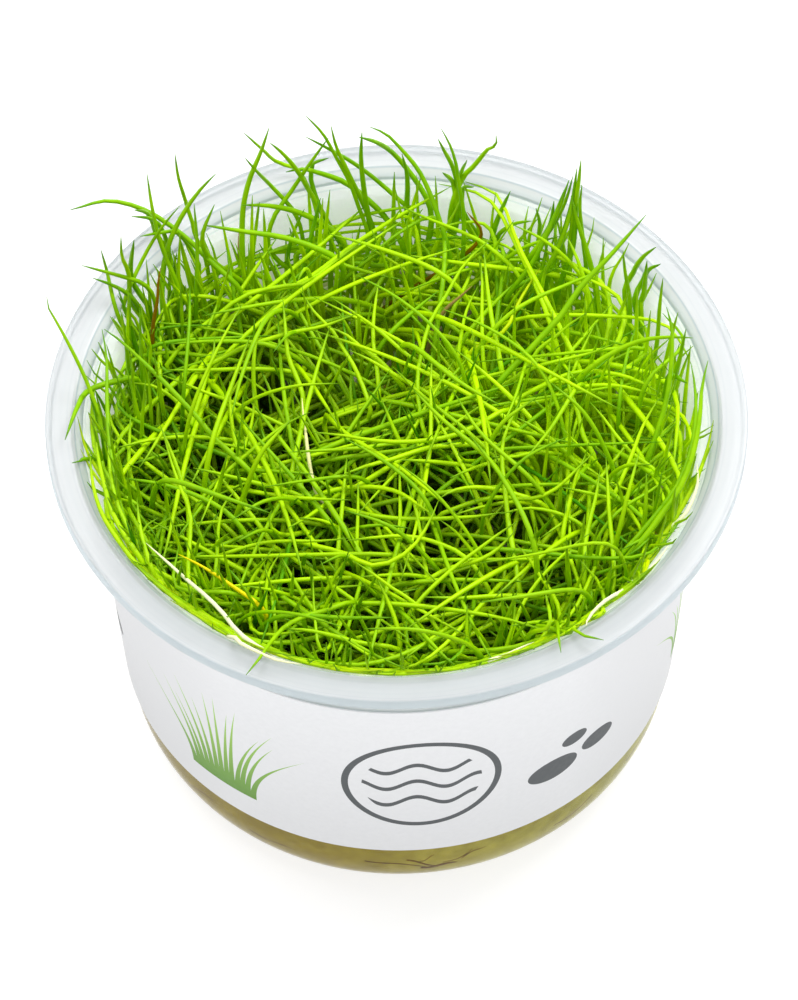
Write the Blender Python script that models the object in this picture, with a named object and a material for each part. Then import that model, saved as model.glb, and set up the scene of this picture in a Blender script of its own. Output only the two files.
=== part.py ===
"""Dwarf hairgrass growing in a clear plastic tub with nutrient gel and a paper band.

Lengths below are in millimetres and are turned into metres as each mesh is made.
The origin is the centre of the tub's flat base, +Z is up and -Y is the front.
"""
import math

import bmesh
import bpy
import numpy as np
from mathutils import Matrix, Vector

MM = 0.001
MERGE = 1e-7
GAP = 0.3

# Tub: a turned thin-walled cup with a flat flange and a short skirt round it
SIDES = 56
CORNER_STEPS = 4
GEL_CORNER_STEPS = 3
CUP_HEIGHT = 64.0
RIM_RADIUS = 50.0
WALL = 0.8
FLOOR_RADIUS = 34.2
CORNER_WIDTH = 6.4
CORNER_HEIGHT = 11.0
WALL_TOP = 60.0
WALL_SPREAD = 3.0
FLANGE_INNER = 45.9
SKIRT_DEPTH = 2.0
RIM_ROUND = 0.5
SEAT_RADIUS = 44.7
SEAT_HEIGHT = 62.2

# Paper band round the wall
LABEL_BOTTOM = 13.4
LABEL_TOP = 51.8
LABEL_THICKNESS = 0.2

# Nutrient gel under the plants
GEL_LEVEL = 15.0
GEL_LIP = 0.7
GEL_LIP_WIDTH = 1.8

# Plantlets: a flaring sheaf of stems on the gel that parts into needle blades
SHEAF_RINGS = ((35.2, 17), (23.6, 11), (12.0, 6), (0.0, 1))
SHEAF_SHIFT = 1.1
SHEAF_TOP_LOW = 39.0
SHEAF_TOP_HIGH = 47.0
SHEAF_FOOT = 2.2
SHEAF_WAIST = 3.3
SHEAF_WAIST_SHARE = 0.55
SHEAF_TOP = 5.0
SHEAF_DOME = 1.6
BLADES = 7
BLADE_RADII = (0.82, 0.7, 0.52)
BLADE_STEPS = (0.26, 0.55, 0.82)
WALL_CLEARANCE = 1.3
SHEATH_OUT = 1.4
SHEATH_UP = 6.0
SLACK_STEP = 0.012
SHORTEST_BLADE = 24.0
LONGEST_BLADE = 44.0
LOWEST_BEND = 55.0
HIGHEST_BEND = 69.0
BACK_RISE = 11.0
ORDINARY_REACH = 45.5
GROWTH_STEPS = 12
GROWTH_TRIES = 300
SEED = 41

# Long blades that lean on the wall or over the rim: a low point, a middle point and the tip
LONG_BLADES = (
    # left of the tub
    ((-42.0, -2.0, 61.0), (-44.0, 5.0, 66.5), (-50.0, 13.0, 76.0)),
    ((-38.5, 8.0, 62.0), (-43.0, 0.5, 69.0), (-47.0, -6.0, 66.0)),
    ((-38.0, 23.0, 66.0), (-41.0, 22.0, 70.0), (-45.0, 21.5, 72.0)),
    ((-40.0, 17.5, 66.0), (-41.0, 19.0, 71.0), (-42.0, 21.0, 76.0)),
    ((-38.0, 20.5, 62.5), (-39.0, 22.0, 69.0), (-39.5, 24.5, 76.0)),
    # back left
    ((-27.0, 31.0, 60.0), (-36.0, 30.0, 74.0), (-47.0, 30.0, 74.5)),
    ((-32.0, 26.0, 61.0), (-33.5, 29.0, 66.0), (-35.5, 33.5, 78.0)),
    ((-29.0, 29.0, 61.0), (-30.0, 33.0, 70.0), (-31.0, 36.0, 79.0)),
    ((-34.0, 21.5, 60.0), (-31.0, 29.0, 70.0), (-26.0, 34.5, 76.5)),
    ((-36.5, 18.5, 60.0), (-34.5, 27.0, 71.0), (-31.0, 30.5, 75.0)),
    ((-22.4, 34.2, 56.0), (-21.0, 37.5, 69.5), (-18.0, 41.5, 79.0)),
    ((-12.6, 38.6, 58.0), (-15.5, 40.0, 68.0), (-21.5, 39.5, 77.0)),
    ((-10.0, 38.6, 58.0), (-14.5, 41.0, 68.5), (-18.0, 40.5, 76.0)),
    ((-8.5, 33.0, 60.0), (-15.0, 31.0, 66.0), (-27.5, 30.0, 69.0)),
    ((-8.0, 37.0, 57.0), (-14.0, 38.0, 63.5), (-22.0, 36.5, 67.0)),
    # back
    ((-5.0, 39.8, 56.0), (-8.2, 42.0, 70.5), (-12.5, 42.5, 79.5)),
    ((-3.4, 39.6, 56.0), (-7.0, 42.5, 67.5), (-9.0, 42.5, 77.0)),
    ((2.6, 39.6, 57.0), (-5.5, 42.5, 67.5), (-12.5, 42.0, 75.5)),
    ((0.8, 38.6, 55.0), (-6.0, 39.5, 66.0), (-15.6, 40.5, 69.0)),
    ((7.8, 38.4, 54.0), (4.0, 41.5, 66.5), (-3.3, 43.0, 76.5)),
    ((4.8, 39.6, 58.0), (1.2, 42.0, 68.0), (-5.0, 42.5, 74.5)),
    ((10.1, 38.3, 56.0), (9.2, 42.0, 67.5), (7.0, 42.8, 76.0)),
    ((10.6, 39.6, 60.5), (13.0, 41.5, 69.5), (15.0, 42.5, 74.5)),
    ((14.5, 36.8, 58.0), (15.7, 39.0, 62.0), (17.0, 40.0, 65.5)),
    # back right
    ((19.0, 35.0, 54.0), (23.6, 35.0, 64.0), (26.2, 35.0, 73.5)),
    ((24.6, 31.6, 55.0), (26.6, 34.0, 67.0), (27.4, 36.0, 77.0)),
    ((28.2, 28.4, 58.0), (27.6, 31.0, 64.5), (26.6, 33.0, 69.5)),
    ((24.0, 18.5, 62.0), (31.0, 23.0, 69.5), (36.3, 26.5, 76.0)),
    ((34.4, 21.0, 62.0), (36.0, 22.5, 68.5), (38.0, 23.5, 72.0)),
    # right
    ((37.4, 13.6, 58.0), (38.0, 14.0, 67.0), (38.0, 15.5, 74.0)),
    ((39.0, 8.0, 58.0), (40.4, 8.0, 66.5), (41.0, 8.0, 73.0)),
    ((28.0, 6.0, 61.0), (36.0, 8.0, 69.5), (42.4, 7.0, 70.0)),
    ((39.8, 1.0, 60.0), (42.6, 1.5, 67.0), (43.8, 2.0, 73.0)),
    ((39.4, -4.0, 60.0), (41.2, -1.0, 66.0), (41.8, 3.5, 70.5)),
    # over the front of the rim
    ((-17.0, -36.5, 60.5), (-19.0, -42.0, 66.8), (-21.0, -46.7, 66.2)),
    ((22.0, -33.5, 61.0), (25.0, -38.5, 66.8), (28.0, -41.5, 66.4)),
)


def wall_radius(height):
    """Outer radius of the tub's slightly spreading wall."""
    share = (height - CORNER_HEIGHT) / (WALL_TOP - CORNER_HEIGHT)
    return FLOOR_RADIUS + CORNER_WIDTH + WALL_SPREAD * share


def base_corner(inset, steps):
    """Quarter ellipse between the flat floor and the wall, moved in by an inset."""
    points = []
    for step in range(steps + 1):
        turn = 0.5 * math.pi * step / steps
        radius = FLOOR_RADIUS + (CORNER_WIDTH - inset) * math.sin(turn)
        height = CORNER_HEIGHT - (CORNER_HEIGHT - inset) * math.cos(turn)
        points.append((radius, height))
    return points


def plain_material(name, color, roughness, alpha=1.0):
    """Principled material with one colour."""
    material = bpy.data.materials.new(name)
    material.use_nodes = True
    shader = material.node_tree.nodes["Principled BSDF"]
    shader.inputs["Base Color"].default_value = (*color, 1.0)
    shader.inputs["Roughness"].default_value = roughness
    shader.inputs["Metallic"].default_value = 0.0
    shader.inputs["Alpha"].default_value = alpha
    return material


def add_object(name, mesh_data, material):
    """Turn a bmesh in millimetres into a named object in metres."""
    bmesh.ops.scale(mesh_data, vec=(MM, MM, MM), verts=mesh_data.verts)
    mesh = bpy.data.meshes.new(name)
    mesh_data.to_mesh(mesh)
    mesh_data.free()
    mesh.materials.append(material)
    piece = bpy.data.objects.new(name, mesh)
    bpy.context.collection.objects.link(piece)
    return piece


def turned_solid(profile, closed=False):
    """Spin a profile of radius and height pairs once round +Z."""
    solid = bmesh.new()
    points = [solid.verts.new((radius, 0.0, height)) for radius, height in profile]
    pairs = list(zip(points, points[1:]))
    if closed:
        pairs.append((points[-1], points[0]))
    edges = [solid.edges.new(pair) for pair in pairs]
    bmesh.ops.spin(
        solid,
        geom=points + edges,
        cent=(0.0, 0.0, 0.0),
        axis=(0.0, 0.0, 1.0),
        angle=math.tau,
        steps=SIDES,
        use_merge=True,
    )
    bmesh.ops.remove_doubles(solid, verts=solid.verts, dist=0.001)
    bmesh.ops.recalc_face_normals(solid, faces=solid.faces)
    return solid


def shade_round(piece, angle=40.0):
    """Smooth shading with the sharp edges kept."""
    piece.data.shade_smooth()
    piece.data.set_sharp_from_angle(angle=math.radians(angle))


def build_cup():
    """Clear tub: floor, rounded corner, wall, lid seat, flange and skirt in one moulding."""
    outside = [(0.0, 0.0)] + base_corner(0.0, CORNER_STEPS) + [(wall_radius(WALL_TOP), WALL_TOP)]
    rim = [
        (FLANGE_INNER - 0.2, SEAT_HEIGHT - 0.4),
        (FLANGE_INNER + 0.4, CUP_HEIGHT - WALL),
        (RIM_RADIUS - WALL, CUP_HEIGHT - WALL),
        (RIM_RADIUS - WALL, CUP_HEIGHT - SKIRT_DEPTH),
        (RIM_RADIUS, CUP_HEIGHT - SKIRT_DEPTH),
        (RIM_RADIUS, CUP_HEIGHT - RIM_ROUND),
        (RIM_RADIUS - RIM_ROUND, CUP_HEIGHT),
        (FLANGE_INNER, CUP_HEIGHT),
        (SEAT_RADIUS, SEAT_HEIGHT),
    ]
    inside_corner = base_corner(WALL, CORNER_STEPS)[::-1]
    inside = [(wall_radius(WALL_TOP) - WALL, WALL_TOP)] + inside_corner + [(0.0, WALL)]
    cup = add_object(
        "cup",
        turned_solid(outside + rim + inside),
        plain_material("clear plastic", (0.86, 0.89, 0.89), 0.15, 0.3),
    )
    shade_round(cup)


def build_label():
    """Paper band that follows the wall just outside it."""
    inner = GAP
    outer = GAP + LABEL_THICKNESS
    profile = [
        (wall_radius(LABEL_BOTTOM) + inner, LABEL_BOTTOM),
        (wall_radius(LABEL_BOTTOM) + outer, LABEL_BOTTOM),
        (wall_radius(LABEL_TOP) + outer, LABEL_TOP),
        (wall_radius(LABEL_TOP) + inner, LABEL_TOP),
    ]
    label = add_object(
        "label", turned_solid(profile, closed=True), plain_material("white paper", (0.85, 0.86, 0.88), 0.6)
    )
    shade_round(label)


def build_gel():
    """Set nutrient gel that fills the bottom of the tub, with a small lip up the wall."""
    inset = WALL + GAP
    edge = wall_radius(GEL_LEVEL) - inset
    profile = (
        [(0.0, inset)]
        + base_corner(inset, GEL_CORNER_STEPS)
        + [(edge, GEL_LEVEL + GEL_LIP), (edge - GEL_LIP_WIDTH, GEL_LEVEL), (0.0, GEL_LEVEL)]
    )
    gel = add_object(
        "nutrient_gel", turned_solid(profile), plain_material("olive gel", (0.33, 0.3, 0.07), 0.2, 0.85)
    )
    shade_round(gel)


def segment_distances(start_a, end_a, start_b, end_b):
    """Shortest distances between every segment of set a and every segment of set b."""
    span_a = (end_a - start_a)[:, None, :]
    span_b = (end_b - start_b)[None, :, :]
    apart = start_a[:, None, :] - start_b[None, :, :]
    aa = np.sum(span_a * span_a, axis=2)
    bb = np.sum(span_b * span_b, axis=2)
    ab = np.sum(span_a * span_b, axis=2)
    ac = np.sum(span_a * apart, axis=2)
    bc = np.sum(span_b * apart, axis=2)
    spread = np.maximum(aa * bb - ab * ab, 1e-9)
    along_a = np.clip((ab * bc - ac * bb) / spread, 0.0, 1.0)
    along_b = np.clip((ab * along_a + bc) / bb, 0.0, 1.0)
    along_a = np.clip((ab * along_b - ac) / aa, 0.0, 1.0)
    nearest = apart + along_a[:, :, None] * span_a - along_b[:, :, None] * span_b
    return np.linalg.norm(nearest, axis=2)


class Thicket:
    """All stem and blade segments placed so far, with the plantlet that each belongs to."""

    def __init__(self):
        self.starts = np.zeros((0, 3))
        self.ends = np.zeros((0, 3))
        self.reach = np.zeros(0)
        self.near_reach = np.zeros(0)
        self.owners = np.zeros(0, dtype=int)
        self.feet = np.zeros(0, dtype=bool)

    def add(self, points, radii, owner):
        """Remember one blade or sheaf given as a chain of points."""
        count = len(points) - 1
        self.starts = np.vstack([self.starts, points[:-1]])
        self.ends = np.vstack([self.ends, points[1:]])
        self.reach = np.concatenate([self.reach, np.maximum(radii[:-1], radii[1:])])
        self.near_reach = np.concatenate([self.near_reach, radii[1:]])
        self.owners = np.concatenate([self.owners, np.full(count, owner)])
        self.feet = np.concatenate([self.feet, np.arange(count) == 0])

    def is_clear(self, points, radii, owner):
        """True when a blade keeps its gap to every blade and sheaf already there."""
        distances = segment_distances(points[:-1], points[1:], self.starts, self.ends)
        reach = np.maximum(radii[:-1], radii[1:])
        same = self.owners == owner
        needed = reach[:, None] + self.reach[None, :] + GAP
        needed[:, same] = radii[1:, None] + self.near_reach[None, same] + GAP
        needed[0, same & self.feet] = 0.0
        needed[1:, same & self.sheaves()] = 0.0
        return bool(np.all(distances >= needed))

    def sheaves(self):
        """Mask of the segments that are sheaves, which are the thick ones."""
        return self.near_reach >= SHEAF_TOP


def inside_radius(height):
    """How far out a blade's centre may be at a height, inside the wall or over the rim."""
    if height > CUP_HEIGHT + WALL_CLEARANCE:
        return RIM_RADIUS + 6.0
    if height > SEAT_HEIGHT - 0.6:
        return SEAT_RADIUS - WALL_CLEARANCE
    return wall_radius(height) - WALL - WALL_CLEARANCE


def keeps_off_cup(points):
    """True when points read along a blade stay clear of the wall, the rim and the gel."""
    for start, end in zip(points, points[1:]):
        for share in (0.0, 0.25, 0.5, 0.75, 1.0):
            x, y, z = start + (end - start) * share
            if math.hypot(x, y) > inside_radius(z) or z < GEL_LEVEL + GAP + 1.0:
                return False
    return True


def sheaf_places(chance):
    """Foot of every sheaf on rings over the gel, each moved a little from its even place."""
    places = []
    for ring, (radius, count) in enumerate(SHEAF_RINGS):
        for index in range(count):
            angle = math.tau * (index + 0.5 * ring) / count
            shift = chance.uniform(-SHEAF_SHIFT, SHEAF_SHIFT, 2)
            keep = 0.3 if ring == 0 else 1.0
            x = radius * math.cos(angle) + shift[0] * keep
            y = radius * math.sin(angle) + shift[1] * keep
            places.append((x, y, chance.uniform(SHEAF_TOP_LOW, SHEAF_TOP_HIGH)))
    return places


def facet_start(place, turn, facet):
    """Centre of one of the sheaf's top faces and its direction from the middle."""
    angle = turn + math.tau * (facet + 0.5) / BLADES
    outward = np.array([math.cos(angle), math.sin(angle), 0.0])
    reach = SHEAF_TOP * math.cos(math.pi / BLADES) * 2.0 / 3.0
    return np.array([place[0], place[1], place[2] + SHEAF_DOME / 3.0]) + outward * reach, outward


def blend_path(points, share):
    """Point on a smooth curve through the given points, spaced by their chord lengths."""
    chords = [0.0]
    for start, end in zip(points, points[1:]):
        chords.append(chords[-1] + float(np.linalg.norm(end - start)))
    place = share * chords[-1]
    span = max(i for i in range(len(points) - 1) if chords[i] <= place + 1e-9)
    width = chords[span + 1] - chords[span]
    t = (place - chords[span]) / width
    slopes = []
    for index in (span, span + 1):
        before = max(index - 1, 0)
        after = min(index + 1, len(points) - 1)
        slopes.append((points[after] - points[before]) / (chords[after] - chords[before]) * width)
    a = 2.0 * t ** 3 - 3.0 * t ** 2 + 1.0
    b = t ** 3 - 2.0 * t ** 2 + t
    c = -2.0 * t ** 3 + 3.0 * t ** 2
    d = t ** 3 - t ** 2
    return a * points[span] + b * slopes[0] + c * points[span + 1] + d * slopes[1]


def blade_chain(path):
    """The few points of a path that the faceted blade keeps, from crown to tip."""
    shares = (0.0,) + BLADE_STEPS + (1.0,)
    return np.array([blend_path(path, share) for share in shares])


def long_blade_path(start, outward, guide, slack, chance):
    """Path of a named long blade, moved by up to the slack to keep clear of its neighbours."""
    low, middle, tip = (np.array(point) for point in guide)
    sheath = start + outward * SHEATH_OUT + np.array([0.0, 0.0, SHEATH_UP])
    low = low + chance.uniform(-slack, slack, 3)
    middle = middle + chance.uniform(-slack, slack, 3)
    tip = tip + chance.uniform(-slack, slack, 3) * 0.6
    tip[2] = min(tip[2], guide[2][2])
    return [start, sheath, low, middle, tip]


def grown_path(start, outward, vigour, chance):
    """Path of an ordinary blade: up from its sheaf, then bent over under its own ceiling."""
    distance = math.hypot(start[0], start[1])
    edge = min(1.0, max(0.0, (distance - 20.0) / 16.0))
    back = 0.5 + 0.5 * start[1] / max(distance, 1.0)
    ceiling = chance.uniform(LOWEST_BEND, HIGHEST_BEND)
    ceiling += edge * (0.2 + 0.8 * back) * chance.uniform(0.0, BACK_RISE)
    length = chance.uniform(SHORTEST_BLADE, LONGEST_BLADE) * vigour
    step = length / GROWTH_STEPS
    lean = chance.uniform(0.1, 0.6)
    swing = chance.uniform(-0.4, 0.4)
    side = np.array([-outward[1], outward[0], 0.0])
    heading = outward * lean + side * swing * lean + np.array([0.0, 0.0, 1.0])
    heading /= np.linalg.norm(heading)
    bend_angle = chance.uniform(0.0, math.tau)
    bend = np.array([math.cos(bend_angle), math.sin(bend_angle), 0.0])
    bend_rate = chance.uniform(0.0, 0.2)
    path = [start]
    point = start
    for index in range(GROWTH_STEPS):
        heading = heading + bend * bend_rate * (0.3 + index / GROWTH_STEPS)
        room = (ceiling - point[2]) / 10.0
        heading[2] = min(heading[2], max(room, -0.15))
        heading /= np.linalg.norm(heading)
        ahead = point + heading * step
        radius = math.hypot(ahead[0], ahead[1])
        limit = min(inside_radius(ahead[2]) - 0.6, ORDINARY_REACH)
        if radius > limit:
            pull = ahead[:2] / radius * (radius - limit)
            heading = heading - np.array([pull[0], pull[1], 0.0]) / step
            heading /= np.linalg.norm(heading)
            ahead = point + heading * step
        point = ahead
        path.append(point)
    return path


def pick_sheaf(places, free, guide):
    """Nearest sheaf with a free face to the foot of a long blade."""
    low = guide[0]
    reach = math.hypot(low[0], low[1])
    shrink = min(1.0, SHEAF_RINGS[0][0] / reach) * 0.97
    best = None
    for index, place in enumerate(places):
        if not free[index]:
            continue
        gap = math.hypot(place[0] - low[0] * shrink, place[1] - low[1] * shrink)
        if best is None or gap < best[0]:
            best = (gap, index)
    return best[1]


def pick_facet(place, turn, faces, guide):
    """Free top face of a sheaf that points nearest towards the blade's low point."""
    toward = math.atan2(guide[0][1] - place[1], guide[0][0] - place[0])

    def miss(facet):
        angle = turn + math.tau * (facet + 0.5) / BLADES - toward
        return abs(math.atan2(math.sin(angle), math.cos(angle)))

    return min(faces, key=miss)


def find_clear(make_path, thicket, radii, owner):
    """Try paths until one keeps clear of the tub, the gel and the other blades."""
    for attempt in range(GROWTH_TRIES):
        chain = blade_chain(make_path(attempt))
        if keeps_off_cup(chain[1:]) and thicket.is_clear(chain, radii, owner):
            return chain
    return None


def grow_all(places, turns, chance):
    """Chains of points for every blade of every plantlet."""
    thicket = Thicket()
    radii = np.array((SHEAF_TOP * 0.5,) + BLADE_RADII + (0.05,))
    for index, place in enumerate(places):
        foot = np.array([place[0], place[1], GEL_LEVEL + GAP])
        top = np.array([place[0], place[1], place[2] - 0.5 * SHEAF_TOP])
        thicket.add(np.array([foot, top]), np.array([SHEAF_TOP, SHEAF_TOP]), index)
    chains = [{} for _ in places]
    free = [list(range(BLADES)) for _ in places]
    for guide in LONG_BLADES:
        owner = pick_sheaf(places, free, guide)
        facet = pick_facet(places[owner], turns[owner], free[owner], guide)
        start, outward = facet_start(places[owner], turns[owner], facet)
        chain = find_clear(
            lambda attempt: long_blade_path(start, outward, guide, SLACK_STEP * attempt, chance),
            thicket,
            radii,
            owner,
        )
        if chain is not None:
            chains[owner][facet] = chain
            free[owner].remove(facet)
            thicket.add(chain, radii, owner)
    for facet in range(BLADES):
        for owner, place in enumerate(places):
            if facet not in free[owner]:
                continue
            start, outward = facet_start(place, turns[owner], facet)
            chain = find_clear(
                lambda attempt: grown_path(start, outward, 1.0 - 0.6 * attempt / GROWTH_TRIES, chance),
                thicket,
                radii,
                owner,
            )
            if chain is not None:
                chains[owner][facet] = chain
                thicket.add(chain, radii, owner)
    return chains


def extrude_blade(solid, face, chain):
    """Draw one top face of a sheaf out along a chain of points and close it in a tip."""
    offsets = [vert.co - face.calc_center_median() for vert in face.verts]
    for step, radius in enumerate(BLADE_RADII, start=1):
        tangent = Vector(chain[step + 1] - chain[step - 1]).normalized()
        flat = [(offset - tangent * offset.dot(tangent)).normalized() for offset in offsets]
        offsets = [direction * radius for direction in flat]
        face = bmesh.ops.extrude_discrete_faces(solid, faces=[face])["faces"][0]
        for vert, offset in zip(face.verts, offsets):
            vert.co = Vector(chain[step]) + offset
    tip = bmesh.ops.extrude_discrete_faces(solid, faces=[face])["faces"][0]
    bmesh.ops.pointmerge(solid, verts=list(tip.verts), merge_co=Vector(chain[-1]))


def sheaf_solid(place, turn):
    """Flaring many-sided sheaf that stands on the gel, with its domed top cut into even faces."""
    solid = bmesh.new()
    foot = GEL_LEVEL + GAP
    waist = foot + SHEAF_WAIST_SHARE * (place[2] - foot)
    bmesh.ops.create_cone(
        solid,
        cap_ends=True,
        segments=BLADES,
        radius1=SHEAF_FOOT,
        radius2=SHEAF_WAIST,
        depth=waist - foot,
        matrix=Matrix.Translation((place[0], place[1], 0.5 * (foot + waist))) @ Matrix.Rotation(turn, 4, "Z"),
    )
    top = max(solid.faces, key=lambda face: face.calc_center_median().z)
    top = bmesh.ops.extrude_discrete_faces(solid, faces=[top])["faces"][0]
    axis = Vector((place[0], place[1], 0.0))
    for vert in top.verts:
        outward = Vector((vert.co.x, vert.co.y, 0.0)) - axis
        vert.co = axis + outward * (SHEAF_TOP / SHEAF_WAIST) + Vector((0.0, 0.0, place[2]))
    crest = bmesh.ops.poke(solid, faces=[top])["verts"][0]
    crest.co.z += SHEAF_DOME
    return solid


def build_plantlet(name, place, turn, chains, material):
    """One plantlet: a sheaf whose top faces are drawn out into its blades."""
    solid = sheaf_solid(place, turn)
    for facet, chain in chains.items():
        start = Vector(chain[0])
        tops = [face for face in solid.faces if len(face.verts) == 3]
        face = min(tops, key=lambda top: (top.calc_center_median() - start).length)
        extrude_blade(solid, face, chain)
    bmesh.ops.recalc_face_normals(solid, faces=solid.faces)
    add_object(name, solid, material)


def build_plantlets():
    """All the plantlets, each a separate rooted plant."""
    chance = np.random.RandomState(SEED)
    places = sheaf_places(chance)
    turns = chance.uniform(0.0, math.tau / BLADES, len(places))
    chains = grow_all(places, turns, chance)
    for index, place in enumerate(places):
        shade = index % 3
        green = (0.2 + 0.06 * shade, 0.5 + 0.05 * shade, 0.01)
        material = plain_material(f"grass green {index + 1}", green, 0.4)
        build_plantlet(f"plantlet_{index + 1:02d}", place, turns[index], chains[index], material)


def main():
    """Clear the scene and build the tub with everything in it."""
    for old in list(bpy.data.objects):
        bpy.data.objects.remove(old, do_unlink=True)
    build_cup()
    build_label()
    build_gel()
    build_plantlets()


main()
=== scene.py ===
"""Dwarf hairgrass in its clear tub: fine shapes, materials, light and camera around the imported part.

Lengths are in millimetres until a mesh is made. The origin is the centre of the tub's flat base,
+Z is up and -Y is the front of the paper band.
"""

import math

import bpy
import numpy as np
from mathutils import Matrix, Vector


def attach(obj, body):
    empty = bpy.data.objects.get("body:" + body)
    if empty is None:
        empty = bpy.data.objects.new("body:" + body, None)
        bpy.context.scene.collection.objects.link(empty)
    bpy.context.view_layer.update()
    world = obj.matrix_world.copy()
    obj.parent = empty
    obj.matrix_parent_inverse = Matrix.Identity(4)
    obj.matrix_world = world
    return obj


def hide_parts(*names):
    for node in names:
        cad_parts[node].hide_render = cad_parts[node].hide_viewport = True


MM = 0.001
TINY = 1e-6
GAP = 0.3

# Tub, band and gel, with the part's own sizes
ROUND_SIDES = 192
CUP_HEIGHT = 64.0
RIM_RADIUS = 50.0
WALL = 0.8
FLOOR_RADIUS = 34.2
CORNER_WIDTH = 6.4
CORNER_HEIGHT = 11.0
CORNER_STEPS = 12
WALL_TOP = 60.0
WALL_SPREAD = 3.0
FLANGE_INNER = 45.9
SKIRT_DEPTH = 2.0
SEAT_RADIUS = 44.7
SEAT_HEIGHT = 62.2
MILKY_ABOVE = 14.4
HAZY_ABOVE = 49.5
FROSTED_ABOVE = 61.5
SEAT_CORNER = 0.2
EDGE_ROUNDING = 0.28
ROUND_ABOVE = math.radians(28.0)
# Rings of painted shade, darker where the plastic bends: radius, half width, strength
MOULDING_LINES = (
    (SEAT_RADIUS + 0.1, 0.2, 0.85),
    (FLANGE_INNER - 0.1, 0.17, 0.95),
    (RIM_RADIUS, 0.2, 0.8),
    (46.9, 0.2, 0.13),
    (47.8, 0.5, 0.06),
    (48.7, 0.25, 0.07),
    (49.45, 0.1, 0.2),
)
LABEL_BOTTOM = 13.4
LABEL_TOP = 51.8
LABEL_THICKNESS = 0.2
SEAM_HALF_ANGLE = 6.0
SEAM_STEP = 0.08
GEL_LEVEL = 15.0
GEL_LIP = 0.7
GEL_HOLD = 0.6
GEL_CORNER_STEPS = 10
GEL_SMOOTH_BELOW = 60.0
# The gel's lip at the wall: how far in, and share of the lip's height
LIP_STEPS = ((0.0, 1.0), (0.35, 0.45), (0.9, 0.15), (1.8, 0.0))

# Colours used in more than one place, or chosen by the blade's state
BLACK = (0.0, 0.0, 0.0)
LINE_GREY = (0.36, 0.45, 0.5)
# Painted shade of the blades deep in the thicket
LEAF_PAINTED_SHADE = (0.008, 0.042, 0.0)
LEAF_GREENS = ((0.065, 0.29, 0.0), (0.43, 0.715, 0.0))
LEAF_FOOT = (0.42, 0.6, 0.07)
LEAF_TIP = (0.05, 0.2, 0.006)
LEAF_CREAMS = ((0.86, 0.88, 0.6), (0.84, 0.85, 0.5))
LEAF_YELLOW = (0.8, 0.66, 0.0)
LEAF_BROWN = (0.25, 0.13, 0.0)

# Pattern of the band in millimetres; an oval is its middle across, height, half width and half height
PRINT_MIDDLE = 32.0
PRINT_RING = (3.0, 32.0, 11.0, 11.0)
PRINT_PEBBLES = ((23.0, 26.0, 4.2, 2.6), (31.0, 27.4, 3.0, 2.0), (26.4, 31.6, 2.2, 1.5))
RING_LINE = 0.045
WAVE_LEVELS = (27.6, 32.0, 36.4)
WAVE_RATE = 0.72
WAVE_SWELL = 1.1
WAVE_LINE = 0.5
WAVE_REACH = 0.78
REEDS = 13
REEDS_MIDDLE = -28.0

# Root threads that lie in the gel's edge: angle from the front, height, length, rise, thickness
ROOT_THREADS = (
    (-7.8, 9.0, 9.5, -2.6, 0.22),
    (1.0, 8.8, 5.5, -2.2, 0.26),
    (4.0, 6.8, 5.5, -0.3, 0.36),
    (3.7, 9.0, 2.4, 0.8, 0.16),
    (8.6, 7.2, 5.0, 3.0, 0.17),
    (12.6, 7.8, 4.0, 2.8, 0.18),
    (-34.0, 7.5, 8.0, -1.2, 0.18),
    (-52.0, 8.0, 7.0, 0.8, 0.16),
    (34.0, 7.0, 8.0, 1.8, 0.18),
    (56.0, 8.5, 9.0, -1.0, 0.2),
    (120.0, 4.0, 11.0, 1.5, 0.22),
    (165.0, 3.0, 9.0, -0.7, 0.25),
    (215.0, 5.0, 12.0, 1.1, 0.2),
)

# Blades: their mesh
RINGS = 26
SLOW_BELOW = 50.0
ROOT_SPACING = 0.4
FINE_STEPS = 160
BLADE_SIDES = 6
BLADE_SHAPE = ((0.0, 0.95), (0.15, 1.0), (0.6, 0.97), (0.82, 0.82), (0.94, 0.52), (1.0, 0.1))
# Nearly level direction that sets where a tube's corners start
TUBE_ACROSS = (0.33, 0.94, 0.05)
# Root end of a traced or a solid's blade: how close to its plantlet's foot, as a share of the others'
# spread, and its two bends by share of the way across and of the rise
ROOT_CLOSER = 0.6
LOW_BEND = (0.1, 0.35)
HIGH_BEND = (0.64, 0.7)
# Root threads: how far inside the gel's edge, lowest height, and the waves along them
THREAD_INSET = 0.62
THREAD_LOWEST = 1.4
THREAD_WAVES = 5.0
THREAD_SWING = 0.5

# Blades: half thickness and tint, from least to most
OUTLINE_RADII = (0.35, 0.5)
OUTLINE_TINTS = (0.25, 0.6)
MAT_RADII = (0.33, 0.43)
MAT_TINTS = (0.7, 1.0)
WALL_RADII = (0.35, 0.43)
WALL_TINTS = (0.5, 1.0)
PLAIN_RADII = (0.29, 0.43)
SOLID_TINTS = (0.3, 0.8)
OLD_RADIUS = 0.34
OLD_TINT = 0.6

# Blades: how many there are, and how far they may go
SEED = 7
ORDINARY_BLADES = 80
WALL_BLADES = 66
MAT_TOP = 61.5
MAT_DEPTH = 20.0
REACH = 46.0
HIGHEST = 79.3
WIDEST = 49.4
RIM_CLEAR = 65.3
WALL_CLEARANCE = 0.5
ANYWHERE = 1000.0
SPLAY_FROM = 37.0
SPLAY_WIDTH = 4.0
LIFT_MOST = 7.0
LIFT_STEP = 0.5

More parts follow.
